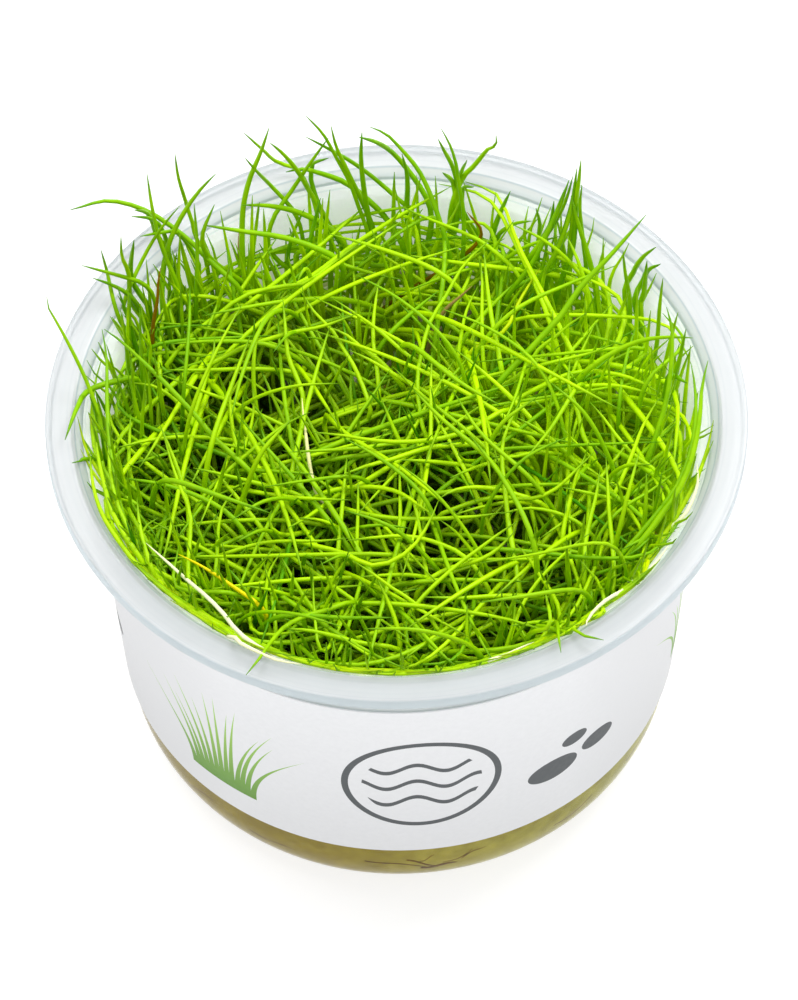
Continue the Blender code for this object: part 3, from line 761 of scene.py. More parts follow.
def moulded_plastic(mottle, name, see_through, body, edge, roughness):
    """Clear moulded plastic with painted grey shade where it is seen edge on and painted dark rings where
    it bends, as milky and rough as asked.
    """
    material, recipe, shader, place = new_material(f"{name} plastic")
    facing = recipe.add("ShaderNodeLayerWeight", Blend=0.35).outputs["Facing"]
    haze = recipe.group(mottle, Place=place, Size=9.0, Low=0.0, High=0.25)
    # Painted shade: greyer where the plastic is seen edge on
    tint = recipe.mix(recipe.math("POWER", facing, 2.2), body, edge)
    tint = recipe.mix(haze, tint, tuple(0.97 * value for value in body))
    radius, _ = turned_place(recipe, place)
    # Painted shade: darker rings where the plastic bends
    lines = [
        recipe.spread(recipe.distance(radius, middle), 0.0, half, strength, 0.0)
        for middle, half, strength in MOULDING_LINES
    ]
    low, high = roughness
    grain = recipe.group(mottle, Place=place, Size=1.4, Low=low, High=high)
    recipe.fill(
        shader,
        Base_Color=recipe.mix(recipe.largest(lines), tint, LINE_GREY),
        Roughness=grain,
        Transmission_Weight=see_through,
        IOR=1.46,
    )
    rough_surface(recipe, shader, grain, 0.06, 0.05)
    return material, recipe, shader, place


def clear_base(mottle):
    """See-through floor and corner of the tub, where the gel wets it."""
    body = (0.97, 0.97, 0.96)
    edge = (0.86, 0.88, 0.86)
    material, recipe, shader, _ = moulded_plastic(mottle, "clear base", 1.0, body, edge, (0.02, 0.06))
    recipe.fill(shader, Specular_IOR_Level=0.02, IOR=1.16)
    return material


def milky_wall(mottle):
    """Whitish inside of the wall, which carries light round the tub and glows a little with it."""
    body = (0.985, 0.99, 0.985)
    edge = (0.84, 0.88, 0.88)
    material, recipe, shader, place = moulded_plastic(mottle, "milky wall", 0.85, body, edge, (0.08, 0.2))
    _, height = turned_place(recipe, place)
    glow = recipe.mix(recipe.spread(height, 36.0, 54.0), (0.45, 0.62, 0.08), (0.86, 0.86, 0.87))
    from_plastic = recipe.add("ShaderNodeNewGeometry").outputs["Backfacing"]
    recipe.fill(shader, Emission_Color=recipe.mix(from_plastic, glow, BLACK), Emission_Strength=0.42)
    return material


def hazy_neck(mottle):
    """Whiter outside of the wall between the band and the flange, lightened a little by a painted glow.
    """
    body = (0.76, 0.8, 0.8)
    edge = (0.68, 0.73, 0.75)
    material, recipe, shader, _ = moulded_plastic(mottle, "hazy neck", 0.05, body, edge, (0.3, 0.45))
    # Faint painted glow that makes the neck whiter
    recipe.fill(shader, Emission_Color=(0.9, 1.0, 1.0), Emission_Strength=0.07)
    return material


def frosted_rim(mottle):
    """Greyer lid seat, flange and skirt, with a painted glow that lightens the seat's slope and the
    skirt.
    """
    body = (0.715, 0.735, 0.742)
    edge = (0.54, 0.62, 0.65)
    material, recipe, shader, place = moulded_plastic(mottle, "frosted rim", 0.7, body, edge, (0.28, 0.4))
    radius, _ = turned_place(recipe, place)
    # Painted glow on the seat's slope and on the skirt, which lightens them
    slope = recipe.spread(radius, FLANGE_INNER - 0.1, FLANGE_INNER + 0.3, 0.5, 0.0)
    skirt = recipe.spread(radius, RIM_RADIUS - 0.2, RIM_RADIUS - 0.05)
    glow = recipe.mix(recipe.largest([slope, skirt]), BLACK, (0.95, 1.0, 1.0))
    recipe.fill(shader, Emission_Color=glow, Emission_Strength=0.17)
    return material


def band_print(recipe, place, reed, oval):
    """Masks of the band's plain pattern, three times round: grey ring, waves and pebbles, green reeds."""
    axes = recipe.axes(place)
    angle = recipe.math("ARCTAN2", axes["X"], recipe.math("MULTIPLY", axes["Y"], -1.0))
    third = math.tau / 3.0
    angle = recipe.math("WRAP", angle, 0.5 * third, -0.5 * third)
    across = recipe.math("MULTIPLY", angle, wall_radius(PRINT_MIDDLE))
    up = recipe.math("DIVIDE", axes["Z"], MM)
    wave = recipe.math("SINE", recipe.math("MULTIPLY", across, WAVE_RATE))
    swell = recipe.math("MULTIPLY", wave, WAVE_SWELL)

    def reach(middle, height, wide, tall):
        size = {"Middle": middle, "Height": height, "Wide": wide, "Tall": tall}
        return recipe.group(oval, Across=across, Up=up, **size)

    ring = reach(*PRINT_RING)
    inside = recipe.math("LESS_THAN", ring, WAVE_REACH)
    greys = [recipe.math("LESS_THAN", recipe.distance(ring, 1.0), RING_LINE)]
    for level in WAVE_LEVELS:
        miss = recipe.distance(recipe.math("SUBTRACT", up, level), swell)
        greys.append(recipe.math("MULTIPLY", recipe.math("LESS_THAN", miss, WAVE_LINE), inside))
    for pebble in PRINT_PEBBLES:
        greys.append(recipe.math("LESS_THAN", reach(*pebble), 1.0))
    greens = []
    for index in range(REEDS):
        side = index - REEDS // 2
        strokes = {
            "Start": REEDS_MIDDLE + 0.9 * side,
            "Foot": 19.0,
            "Tall": 23.0 - 1.1 * abs(side) + 2.0 * math.sin(2.6 * index),
            "Lean": 1.7 * side * (0.8 + 0.2 * math.cos(2.0 * index)),
            "Width": 0.55,
        }
        greens.append(recipe.group(reed, Across=across, Up=up, **strokes))
    return recipe.largest(greys), recipe.largest(greens), up


def white_paper(mottle, reed, oval):
    """Coated white paper with a plain printed pattern, with painted shade towards the sides and the back,
    and a painted glow that is stronger higher up.
    """
    material, recipe, shader, place = new_material("printed white paper")
    grey, green, up = band_print(recipe, place, reed, oval)
    fibre = recipe.group(mottle, Place=place, Size=0.8, Low=0.0, High=1.0)
    paper = recipe.mix(fibre, (0.665, 0.672, 0.685), (0.69, 0.697, 0.71))
    axes = recipe.axes(place)
    # Painted shade: the paper is greyer towards the sides and the back
    to_back = recipe.spread(axes["Y"], -0.01, 0.03)
    to_side = recipe.spread(recipe.math("ABSOLUTE", axes["X"]), 0.024, 0.043)
    paper = recipe.mix(recipe.largest([to_side, to_back]), paper, (0.56, 0.565, 0.575))
    green_ink = recipe.mix(recipe.spread(up, 18.0, 42.0), (0.1, 0.24, 0.03), (0.34, 0.58, 0.1))
    inked = recipe.mix(green, paper, green_ink)
    inked = recipe.mix(grey, inked, (0.07, 0.078, 0.083))
    # Painted glow, stronger higher up and none at the back
    bounced = recipe.spread(up, 16.0, 50.0, 0.35, 1.0)
    painted_glow = recipe.math("MULTIPLY", bounced, recipe.math("SUBTRACT", 1.0, to_back))
    recipe.fill(
        shader,
        Base_Color=inked,
        Roughness=recipe.spread(fibre, 0.0, 1.0, 0.45, 0.55),
        Specular_IOR_Level=0.3,
        Emission_Color=recipe.mix(painted_glow, BLACK, inked),
        Emission_Strength=0.27,
    )
    rough_surface(recipe, shader, fibre, 0.08, 0.05)
    return material


def olive_gel(mottle):
    """Wet olive gel with cloudy patches and browner specks, browner on the left."""
    material, recipe, shader, place = new_material("olive nutrient gel")
    cloud = recipe.group(mottle, Place=place, Size=14.0, Low=0.0, High=1.0)
    speck = recipe.group(mottle, Place=place, Size=2.0, Low=0.0, High=0.35)
    to_right = recipe.spread(recipe.math("DIVIDE", recipe.axes(place)["X"], MM), -10.0, 30.0)
    dark = recipe.mix(to_right, (0.31, 0.23, 0.02), (0.38, 0.34, 0.04))
    light = recipe.mix(to_right, (0.48, 0.38, 0.05), (0.55, 0.53, 0.1))
    body = recipe.mix(speck, recipe.mix(cloud, dark, light), (0.13, 0.08, 0.01))
    wet = recipe.spread(cloud, 0.0, 1.0, 0.2, 0.35)
    recipe.fill(shader, Base_Color=body, Roughness=wet, Specular_IOR_Level=0.1)
    rough_surface(recipe, shader, speck, 0.2, 0.2)
    return material


def living_and_old(recipe, patch):
    """Blade colour by its own values: green with a dark tip, or cream, yellow and brown when old."""
    along = recipe.attribute("along")
    wither = recipe.attribute("wither")
    fresh = recipe.mix(recipe.math("ADD", recipe.attribute("tint"), patch), *LEAF_GREENS)
    body = recipe.mix(recipe.spread(along, 0.05, 0.4, 0.55, 0.0), fresh, LEAF_FOOT)
    body = recipe.mix(recipe.spread(along, 0.9, 0.99, 0.0, 0.7), body, LEAF_TIP)
    cream = recipe.mix(recipe.spread(along, 0.2, 1.0), *LEAF_CREAMS)
    old = recipe.mix(recipe.spread(wither, 0.3, 0.45), LEAF_YELLOW, cream)
    old = recipe.mix(recipe.spread(wither, 0.7, 0.95), old, LEAF_BROWN)
    return recipe.mix(recipe.spread(wither, 0.05, 0.3), body, old)


def leaf_green(mottle):
    """Blade with painted shade deep in the thicket, painted light from above and beside the wall, and a
    painted glow through the wall on the far and the right side.
    """
    material, recipe, shader, place = new_material("hairgrass blade")
    patch = recipe.group(mottle, Place=place, Size=3.0, Low=-0.12, High=0.12)
    body = living_and_old(recipe, patch)
    radius, height = turned_place(recipe, place)
    axes = recipe.axes(place)
    # Painted shade low in the thicket, lifted by painted light from above, from the wall and through the
    # far and right side
    from_above = recipe.spread(height, 43.0, 58.5, 0.1, 1.0)
    beside_wall = recipe.spread(radius, 29.0, 38.0)
    from_wall = recipe.math("MULTIPLY", beside_wall, recipe.spread(height, 26.0, 52.0, 0.3, 1.0))
    to_right = recipe.math("MULTIPLY", axes["X"], 0.6)
    to_back = recipe.math("MULTIPLY", axes["Y"], 0.8)
    through = recipe.spread(recipe.math("ADD", to_right, to_back), 0.001, 0.02, 0.0, 0.5)
    lit = recipe.mix(recipe.largest([from_above, from_wall, through]), LEAF_PAINTED_SHADE, body)
    # The base colour carries the painted shade and light; the far and right side also glow with painted
    # light
    recipe.fill(
        shader,
        Base_Color=lit,
        Roughness=recipe.spread(patch, -0.12, 0.12, 0.34, 0.46),
        Specular_IOR_Level=0.11,
        Emission_Color=recipe.mix(through, BLACK, lit),
        Emission_Strength=0.23,
    )
    material.cycles.emission_sampling = "NONE"
    rough_surface(recipe, shader, patch, 0.15, 0.08)
    return material


def root_brown(mottle):
    """Brown root thread, paler in patches."""
    material, recipe, shader, place = new_material("brown root thread")
    patch = recipe.group(mottle, Place=place, Size=1.6, Low=0.0, High=1.0)
    recipe.fill(
        shader,
        Base_Color=recipe.mix(patch, (0.1, 0.045, 0.0), (0.25, 0.14, 0.01)),
        Roughness=recipe.spread(patch, 0.0, 1.0, 0.5, 0.7),
        Specular_IOR_Level=0.2,
    )
    rough_surface(recipe, shader, patch, 0.2, 0.05)
    return material


def pale_floor(mottle):
    """White studio floor with a barely seen unevenness."""
    material, recipe, shader, place = new_material("studio floor")
    soft = recipe.group(mottle, Place=place, Size=60.0, Low=0.0, High=1.0)
    recipe.fill(
        shader,
        Base_Color=recipe.mix(soft, (0.29, 0.29, 0.29), (0.31, 0.31, 0.31)),
        Roughness=0.9,
        Specular_IOR_Level=0.1,
        Emission_Color=(1.0, 1.0, 1.0),
        Emission_Strength=0.8,
    )
    return material


# Tub, band and gel


def finish_of(face):
    """Place in the tub's list of finishes: clear base, milky inside, hazy neck or frosted rim."""
    height = face.center.z / MM
    faces_in = face.center.xy.dot(face.normal.xy) < 0.0
    if height > FROSTED_ABOVE:
        return 3
    if faces_in:
        return int(height > MILKY_ABOVE)
    return 2 * int(height > HAZY_ABOVE)


def build_cup(finishes):
    """Clear tub in one moulding: rounded corner, wall, lid seat, flange and skirt."""
    levels = (MILKY_ABOVE, HAZY_ABOVE, WALL_TOP)
    outside = base_corner(0.0, CORNER_STEPS) + [(wall_radius(height), height) for height in levels]
    rim = [
        (FLANGE_INNER - SEAT_CORNER, SEAT_HEIGHT - 2.0 * SEAT_CORNER),
        (FLANGE_INNER + 2.0 * SEAT_CORNER, CUP_HEIGHT - WALL),
        (RIM_RADIUS - WALL, CUP_HEIGHT - WALL),
        (RIM_RADIUS - WALL, CUP_HEIGHT - SKIRT_DEPTH),
        (RIM_RADIUS, CUP_HEIGHT - SKIRT_DEPTH),
        (RIM_RADIUS, CUP_HEIGHT),
        (FLANGE_INNER, CUP_HEIGHT),
        (SEAT_RADIUS, SEAT_HEIGHT),
    ]
    inside = [(wall_radius(height) - WALL, height) for height in levels[::-1]]
    inside += base_corner(WALL, CORNER_STEPS)[::-1]
    cup = turned_piece("clear_tub", outside + rim + inside)
    round_edges(cup, EDGE_ROUNDING, ROUND_ABOVE)
    shade_round(cup)
    for material in finishes:
        cup.data.materials.append(material)
    for face in cup.data.polygons:
        face.material_index = finish_of(face)
    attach(cup, "root")
    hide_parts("cup")


def build_band(material):
    """Paper band just outside the wall, with its overlapping end at the back."""
    outer = GAP + LABEL_THICKNESS
    sides = ((GAP, LABEL_BOTTOM), (outer, LABEL_BOTTOM), (outer, LABEL_TOP), (GAP, LABEL_TOP))
    profile = [(wall_radius(height) + off_wall, height) for off_wall, height in sides]
    band = turned_piece("paper_band", profile, hollow=True)
    middle = 0.5 * (LABEL_BOTTOM + LABEL_TOP)
    for face in band.data.polygons:
        spot = face.center / MM
        off_back = abs(math.degrees(math.atan2(spot.x, spot.y)))
        outside = math.hypot(spot.x, spot.y) > wall_radius(middle) + 0.5 * (GAP + outer)
        face.select = off_back < SEAM_HALF_ANGLE and outside and abs(spot.z - middle) < 1.0
    for part in list(band.data.edges) + list(band.data.vertices):
        part.select = False
    open_edit(band, "FACE")
    bpy.ops.mesh.extrude_region_shrink_fatten(TRANSFORM_OT_shrink_fatten={"value": SEAM_STEP * MM})
    bpy.ops.mesh.select_all(action="DESELECT")
    settle(band, "paper_band")
    shade_round(band)
    band.data.materials.append(material)
    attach(band, "root")
    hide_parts("label")


def build_gel(material):
    """Set gel in the bottom of the tub, drawn up a little where it meets the wall."""
    inset = WALL + GAP
    edge = wall_radius(GEL_LEVEL) - inset + GEL_HOLD
    lip = [(edge - inward, GEL_LEVEL + share * GEL_LIP) for inward, share in LIP_STEPS]
    lip.append((0.5 * edge, GEL_LEVEL))
    gel = turned_piece("gel_bed", base_corner(inset - GEL_HOLD, GEL_CORNER_STEPS) + lip)
    shade_round(gel, GEL_SMOOTH_BELOW)
    gel.data.materials.append(material)
    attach(gel, "root")
    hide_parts("nutrient_gel")


# Blades


def camera_axes():
    """Right, up and forward directions of the photograph's camera."""
    right = np.array([1.0, 0.0, 0.0])
    up = np.array([0.0, math.sin(CAMERA_PITCH), math.cos(CAMERA_PITCH)])
    forward = np.array([0.0, math.cos(CAMERA_PITCH), -math.sin(CAMERA_PITCH)])
    turned_right = math.cos(CAMERA_ROLL) * right + math.sin(CAMERA_ROLL) * up
    turned_up = -math.sin(CAMERA_ROLL) * right + math.cos(CAMERA_ROLL) * up
    return turned_right, turned_up, forward


def seen_at(across, down, height):
    """Point at a height that the photograph shows at a picture point."""
    right, up, forward = camera_axes()
    side = (across - 0.5 * PHOTO_WIDTH) / FOCAL_PIXELS
    rise = (0.5 * PHOTO_HEIGHT - down) / FOCAL_PIXELS
    ray = forward + side * right + rise * up
    place = np.array(CAMERA_PLACE)
    return place + ray * ((height - place[2]) / ray[2])


def inside_radius(height):
    """How far out a blade's middle may be at a height: inside the wall, or over the rim."""
    heights = (CORNER_HEIGHT, WALL_TOP, SEAT_HEIGHT, CUP_HEIGHT)
    radii = (wall_radius(CORNER_HEIGHT) - WALL, wall_radius(WALL_TOP) - WALL, SEAT_RADIUS, FLANGE_INNER)
    return np.where(height > RIM_CLEAR, ANYWHERE, np.interp(height, heights, radii) - WALL_CLEARANCE)


def pull_inside(points):
    """Move points that are in the wall back inside it, and keep all within the part's box."""
    radius = np.hypot(points[..., 0], points[..., 1])
    keep = np.minimum(1.0, inside_radius(points[..., 2]) / np.maximum(radius, TINY))
    points[..., 0] *= keep
    points[..., 1] *= keep
    points[..., :2] = np.clip(points[..., :2], -WIDEST, WIDEST)
    points[..., 2] = np.minimum(points[..., 2], HIGHEST)
    return points


def lifted_point(across, down, height):
    """Picture point at a height, raised along the line of sight until it is inside the wall."""
    for extra in np.arange(0.0, LIFT_MOST, LIFT_STEP):
        point = seen_at(across, down, height + extra)
        if math.hypot(point[0], point[1]) <= inside_radius(point[2]):
            break
    return point


def traced_path(low, tip, marks):
    """Points of a traced blade from its low end to its tip."""
    spans = [0.0]
    for first, second in zip(marks, marks[1:]):
        spans.append(spans[-1] + math.dist(first, second))
    points = []
    for span, (across, down) in zip(spans, marks):
        height = tip + (low - tip) * span / spans[-1]
        points.append(lifted_point(across, down, height))
    return np.array(points[::-1])


def evenly_spaced(points, count):
    """A smooth curve through the points, cut into even steps that are longer down among the roots."""
    points = np.asarray(points)
    chords = np.linalg.norm(np.diff(points, axis=0), axis=1)
    keys = np.concatenate([[0.0], np.cumsum(chords)])
    slopes = np.gradient(points, keys, axis=0)
    fine = np.linspace(0.0, keys[-1], FINE_STEPS)
    span = np.clip(np.searchsorted(keys, fine, side="right") - 1, 0, len(keys) - 2)
    width = (keys[span + 1] - keys[span])[:, None]
    t = ((fine - keys[span])[:, None]) / width
    curve = (
        (2 * t ** 3 - 3 * t ** 2 + 1) * points[span]
        + (t ** 3 - 2 * t ** 2 + t) * width * slopes[span]
        + (3 * t ** 2 - 2 * t ** 3) * points[span + 1]
        + (t ** 3 - t ** 2) * width * slopes[span + 1]
    )
    lengths = np.linalg.norm(np.diff(curve, axis=0), axis=1)
    lengths *= np.where(curve[1:, 2] < SLOW_BELOW, ROOT_SPACING, 1.0)
    places = np.concatenate([[0.0], np.cumsum(lengths)])
    wanted = np.linspace(0.0, places[-1], count)
    return np.stack([np.interp(wanted, places, curve[:, axis]) for axis in range(3)], axis=1)


def solid_points(node):
    """Distinct corner points of a CAD solid in millimetres, and the pairs joined by its edges."""
    mesh = node.data
    corners = np.array([vertex.co for vertex in mesh.vertices]) / MM
    rounded = np.round(corners, 3)
    points, index = np.unique(rounded, axis=0, return_inverse=True)
    index = index.reshape(-1)
    pairs = {}
    for edge in mesh.edges:
        first, second = (int(index[vertex]) for vertex in edge.vertices)
        pairs.setdefault(first, set()).add(second)
        pairs.setdefault(second, set()).add(first)
    return points, pairs


def solid_blades(node):
    """Foot of a plantlet's solid and the middle lines of its blades, from sheaf to tip."""
    points, pairs = solid_points(node)
    low = points[:, 2].min()
    foot = points[points[:, 2] < low + FOOT_BAND].mean(axis=0)
    chains = []
    for tip, near in pairs.items():
        if len(near) != SOLID_SIDES or points[tip, 2] < low + TIPS_ABOVE_FOOT:
            continue
        chain = [points[tip]]
        seen = {tip}
        ring = set(near)
        while len(ring) == SOLID_SIDES:
            chain.append(points[list(ring)].mean(axis=0))
            seen |= ring
            ahead = set()
            for corner in ring:
                ahead |= pairs[corner]
            ring = ahead - seen
        if len(chain) >= SOLID_RINGS:
            chains.append(np.array(chain[::-1]))
    return foot, chains


def rooted(foot, chain, chance):
    """Add the root end to the middle line of a blade: up from the gel beside the foot."""
    angle = chance.uniform(0.0, math.tau)
    reach = ROOT_SPREAD * ROOT_CLOSER * math.sqrt(chance.uniform(0.0, 1.0))
    root = np.array([foot[0] + reach * math.cos(angle), foot[1] + reach * math.sin(angle), GEL_LEVEL])
    bends = [
        root + (chain[0] - root) * np.array([across, across, up])
        for across, up in (LOW_BEND, HIGH_BEND)
    ]
    return np.vstack([root, *bends, chain])


def skyline(points):
    """Greatest height of an ordinary blade by its direction from the middle of the tub."""
    angle = np.degrees(np.arctan2(points[:, 1], points[:, 0]))
    return np.interp(angle, SKYLINE_ANGLES, SKYLINE_HEIGHTS, period=360.0)


def in_view_gap(paths, chance):
    """Mask of blades to leave out where the photograph sees through the thicket to the back."""
    along_view = paths[..., 1] + (paths[..., 2] - WALL_TOP) / math.tan(CAMERA_PITCH)
    drop = np.zeros(len(paths), dtype=bool)
    for across, half, near, far, above, share in VIEW_GAPS:
        inside = (np.abs(paths[..., 0] - across) < half) & (along_view > near) & (along_view < far)
        inside &= paths[..., 2] > above
        drop |= inside.any(axis=1) & (chance.uniform(0.0, 1.0, len(paths)) < share)
    return drop


def splayed(paths):
    """Let low blades that stand beside the wall follow it outward over the lid seat."""
    radius = np.maximum(np.hypot(paths[..., 0], paths[..., 1]), TINY)
    heights = np.clip(paths[..., 2], WALL_TOP, CUP_HEIGHT)
    widening = inside_radius(heights) - inside_radius(WALL_TOP)
    low = (paths[..., 2].max(axis=1) < RIM_CLEAR)[:, None]
    beside = low * np.clip((radius - SPLAY_FROM) / SPLAY_WIDTH, 0.0, 1.0)
    paths[..., :2] *= (1.0 + beside * widening / radius)[..., None]
    return paths


def blade_feet(feet, chance):
    """Owner and root of every ordinary blade, spread round its plantlet's foot."""
    owners = np.repeat(np.arange(len(feet)), ORDINARY_BLADES)
    count = len(owners)
    angle = chance.uniform(0.0, math.tau, count)
    reach = ROOT_SPREAD * np.sqrt(chance.uniform(0.0, 1.0, count))
    root = np.zeros((count, 3))
    root[:, 0] = feet[owners, 0] + reach * np.cos(angle)
    root[:, 1] = feet[owners, 1] + reach * np.sin(angle)
    root[:, 2] = GEL_LEVEL - ROOT_DEPTH
    return owners, root


def sideways(angle):
    """Level directions of length 1 at some angles."""
    return np.stack([np.cos(angle), np.sin(angle), np.zeros(len(angle))], axis=1)


def kept_inside(ahead, heading, step):
    """Pull points that would leave the tub back, and turn their blades inward."""
    radius = np.hypot(ahead[:, 0], ahead[:, 1])
    limit = np.minimum(inside_radius(ahead[:, 2]), REACH)
    over = np.maximum(radius - limit, 0.0)
    pull = ahead[:, :2] / np.maximum(radius, TINY)[:, None] * over[:, None]
    ahead[:, :2] -= pull
    heading[:, :2] -= TURN_BACK * pull / step


def grown_paths(feet, chance):
    """Paths of the ordinary blades of all plantlets at once: owners and (blade, ring, xyz)."""
    owners, point = blade_feet(feet, chance)
    count = len(owners)
    distance = np.hypot(point[:, 0], point[:, 1])
    outward = point[:, :2] / np.maximum(distance, 1.0)[:, None]
    edge = np.clip((distance - EDGE_FROM) / EDGE_WIDTH, 0.0, 1.0)
    upright = chance.uniform(0.0, 1.0, count) < LOOSE_TIPS + UPRIGHT_SHARE * edge
    short = chance.uniform(0.0, 1.0, count)
    lid = (1.0 - edge) * MAT_TOP + edge * np.minimum(skyline(point), MAT_TOP + EDGE_RISE)
    ceiling = np.where(upright, NO_CEILING, lid - MAT_DEPTH * short)
    tall = (1.0 - edge) * (MAT_TOP + UPRIGHT_RISE) + edge * skyline(point)
    tall -= MAT_DEPTH * short ** SHORT_POWER
    length = np.where(upright, (tall - GEL_LEVEL) * BENT_LONGER, chance.uniform(*MAT_LENGTHS, count))
    step = (length / (RINGS - 1))[:, None]
    inward = np.arctan2(-outward[:, 1], -outward[:, 0])
    side = chance.uniform(-1.0, 1.0, count) * (math.pi - EDGE_NARROWER * edge)
    side += inward + math.pi * upright
    lean = np.where(upright, chance.uniform(*UPRIGHT_LEAN, count), chance.uniform(*MAT_LEAN, count))
    heading = sideways(side) * lean[:, None]
    heading[:, 2] = 1.0
    bend = sideways(side + chance.uniform(-BEND_TURN, BEND_TURN, count))
    slow, fast = (chance.uniform(*bends, count) for bends in (UPRIGHT_BEND, MAT_BEND))
    bend_rate = np.where(upright, slow, fast)
    swirl = chance.uniform(-SWIRL, SWIRL, count)
    droop = chance.uniform(*DROOP, count)
    paths = [point.copy()]
    for ring in range(1, RINGS):
        share = ring / (RINGS - 1)
        heading = heading + bend * (bend_rate * (BEND_START + BEND_GROWTH * share))[:, None]
        turned = np.stack([-heading[:, 1], heading[:, 0], np.zeros(count)], axis=1)
        heading = heading + turned * (swirl * share)[:, None]
        room = np.clip((ceiling - point[:, 2]) / CEILING_FADE, droop, STEEPEST)
        flat = np.linalg.norm(heading[:, :2], axis=1)
        heading[:, 2] = np.minimum(heading[:, 2], room + ROOM_SPARE)
        short_of = np.maximum(LEAST_SPEED - flat - np.abs(heading[:, 2]), 0.0)
        heading[:, :2] += bend[:, :2] * short_of[:, None]
        heading /= np.linalg.norm(heading, axis=1)[:, None]
        point = point + heading * step
        kept_inside(point, heading, step)
        paths.append(point.copy())
    paths = np.stack(paths, axis=1)
    for _ in range(SMOOTHINGS):
        paths[:, 1:-1] = 0.5 * paths[:, 1:-1] + 0.25 * (paths[:, :-2] + paths[:, 2:])
    paths = splayed(paths)
    kept = ~in_view_gap(paths, chance)
    return owners[kept], pull_inside(paths[kept])


def blade_tubes(paths, radii):
    """Corner points of round tapering tubes along the paths, the last ring drawn to a point."""
    tangents = np.gradient(paths, axis=1)
    tangents /= np.linalg.norm(tangents, axis=2)[..., None]
    normal = np.cross(tangents[:, 0], np.array(TUBE_ACROSS))
    normal /= np.linalg.norm(normal, axis=1)[:, None]
    share = np.linspace(0.0, 1.0, paths.shape[1])
    shape = np.interp(share, [key for key, _ in BLADE_SHAPE], [value for _, value in BLADE_SHAPE])
    rings = []
    turns = np.arange(BLADE_SIDES) * math.tau / BLADE_SIDES
    for ring in range(paths.shape[1]):
        tangent = tangents[:, ring]
        normal = normal - tangent * np.sum(normal * tangent, axis=1)[:, None]
        normal /= np.linalg.norm(normal, axis=1)[:, None]
        across = np.cross(tangent, normal)
        around = (
            normal[:, None, :] * np.cos(turns)[None, :, None]
            + across[:, None, :] * np.sin(turns)[None, :, None]
        )
        rings.append(paths[:, ring, None, :] + around * (radii * shape[ring])[:, None, None])
    return np.stack(rings, axis=1), share


def blade_faces(blades, rings):
    """Four-sided faces of the tubes, and many-sided ones that close both ends."""
    step = BLADE_SIDES
    faces = []
    for blade in range(blades):
        base = blade * rings * step
        for ring in range(rings - 1):
            low = base + ring * step
            for side in range(step):
                ahead = (side + 1) % step
                faces.append((low + side, low + ahead, low + step + ahead, low + step + side))
        faces.append(tuple(base + side for side in reversed(range(step))))
        last = base + (rings - 1) * step
        faces.append(tuple(last + side for side in range(step)))
    return faces


def blade_piece(name, paths, radii, tints, withers, material):
    """One mesh of all the blades of a plantlet, with its colour values at each corner point."""
    corners, share = blade_tubes(paths, radii)
    blades, rings, sides = corners.shape[:3]
    mesh = bpy.data.meshes.new(name)
    mesh.from_pydata((corners.reshape(-1, 3) * MM).tolist(), [], blade_faces(blades, rings))
    per_ring = np.repeat(share, sides)
    values = {
        "along": np.tile(per_ring, blades),
        "tint": np.repeat(tints, rings * sides),
        "wither": np.repeat(withers, rings * sides),
    }
    for key, numbers in values.items():
        attribute = mesh.attributes.new(key, "FLOAT", "POINT")
        attribute.data.foreach_set("value", numbers.astype(np.float32))
    mesh.materials.append(material)
    piece = bpy.data.objects.new(name, mesh)
    bpy.context.scene.collection.objects.link(piece)
    mesh.shade_smooth()
    mesh.validate()
    return piece


def owner_of(tip, low, feet, solids):
    """Plantlet whose solid reaches nearest to a traced tip, or else the nearest foot."""
    best = (CLUMP_TIP_MATCH, None)
    for owner, chains in enumerate(solids):
        for chain in chains:
            best = min(best, (float(np.linalg.norm(chain[-1] - tip)), owner))
    if best[1] is not None:
        return best[1]
    shrink = min(1.0, FEET_RADIUS / max(math.hypot(low[0], low[1]), 1.0))
    away = feet[:, :2] - np.array(low[:2]) * shrink
    return int(np.argmin(np.hypot(away[:, 0], away[:, 1])))


class Thicket:
    """Blades gathered for each plantlet: paths, thicknesses, tints and how withered they are."""

    def __init__(self, feet, solids, chance):
        self.feet = feet
        self.solids = solids
        self.chance = chance
        self.rows = [[] for _ in feet]
        self.tips = []

    def grow_to(self, chain, radius, tint, wither):
        """Add a blade that ends in the given chain, rooted at its plantlet."""
        owner = owner_of(chain[-1], chain[0], self.feet, self.solids)
        path = evenly_spaced(rooted(self.feet[owner], chain, self.chance), RINGS)
        self.add(owner, pull_inside(path), radius, tint, wither)
        self.tips.append(chain[-1])

    def add(self, owner, path, radius, tint, wither):
        """Add a finished path to a plantlet."""
        self.rows[owner].append((path, radius, tint, wither))

    def is_traced(self, tip):
        """True when a traced blade already ends beside this tip."""
        return np.min(np.linalg.norm(np.array(self.tips) - tip, axis=1)) < SAME_TIP


def add_traced(thicket, chance):
    """Blades that follow the photograph: the outline, the mat and the old ones."""
    for low, tip, marks in TRACED_BLADES:
        radius = chance.uniform(*OUTLINE_RADII)
        tint = chance.uniform(*OUTLINE_TINTS)
        thicket.grow_to(traced_path(low, tip, marks), radius, tint, 0.0)
    for low, tip, marks in MAT_BLADES:
        radius = chance.uniform(*MAT_RADII)
        tint = chance.uniform(*MAT_TINTS)
        thicket.grow_to(traced_path(low, tip, marks), radius, tint, 0.0)
    for wither, low, tip, marks in OLD_BLADES:
        thicket.grow_to(traced_path(low, tip, marks), OLD_RADIUS, OLD_TINT, wither)


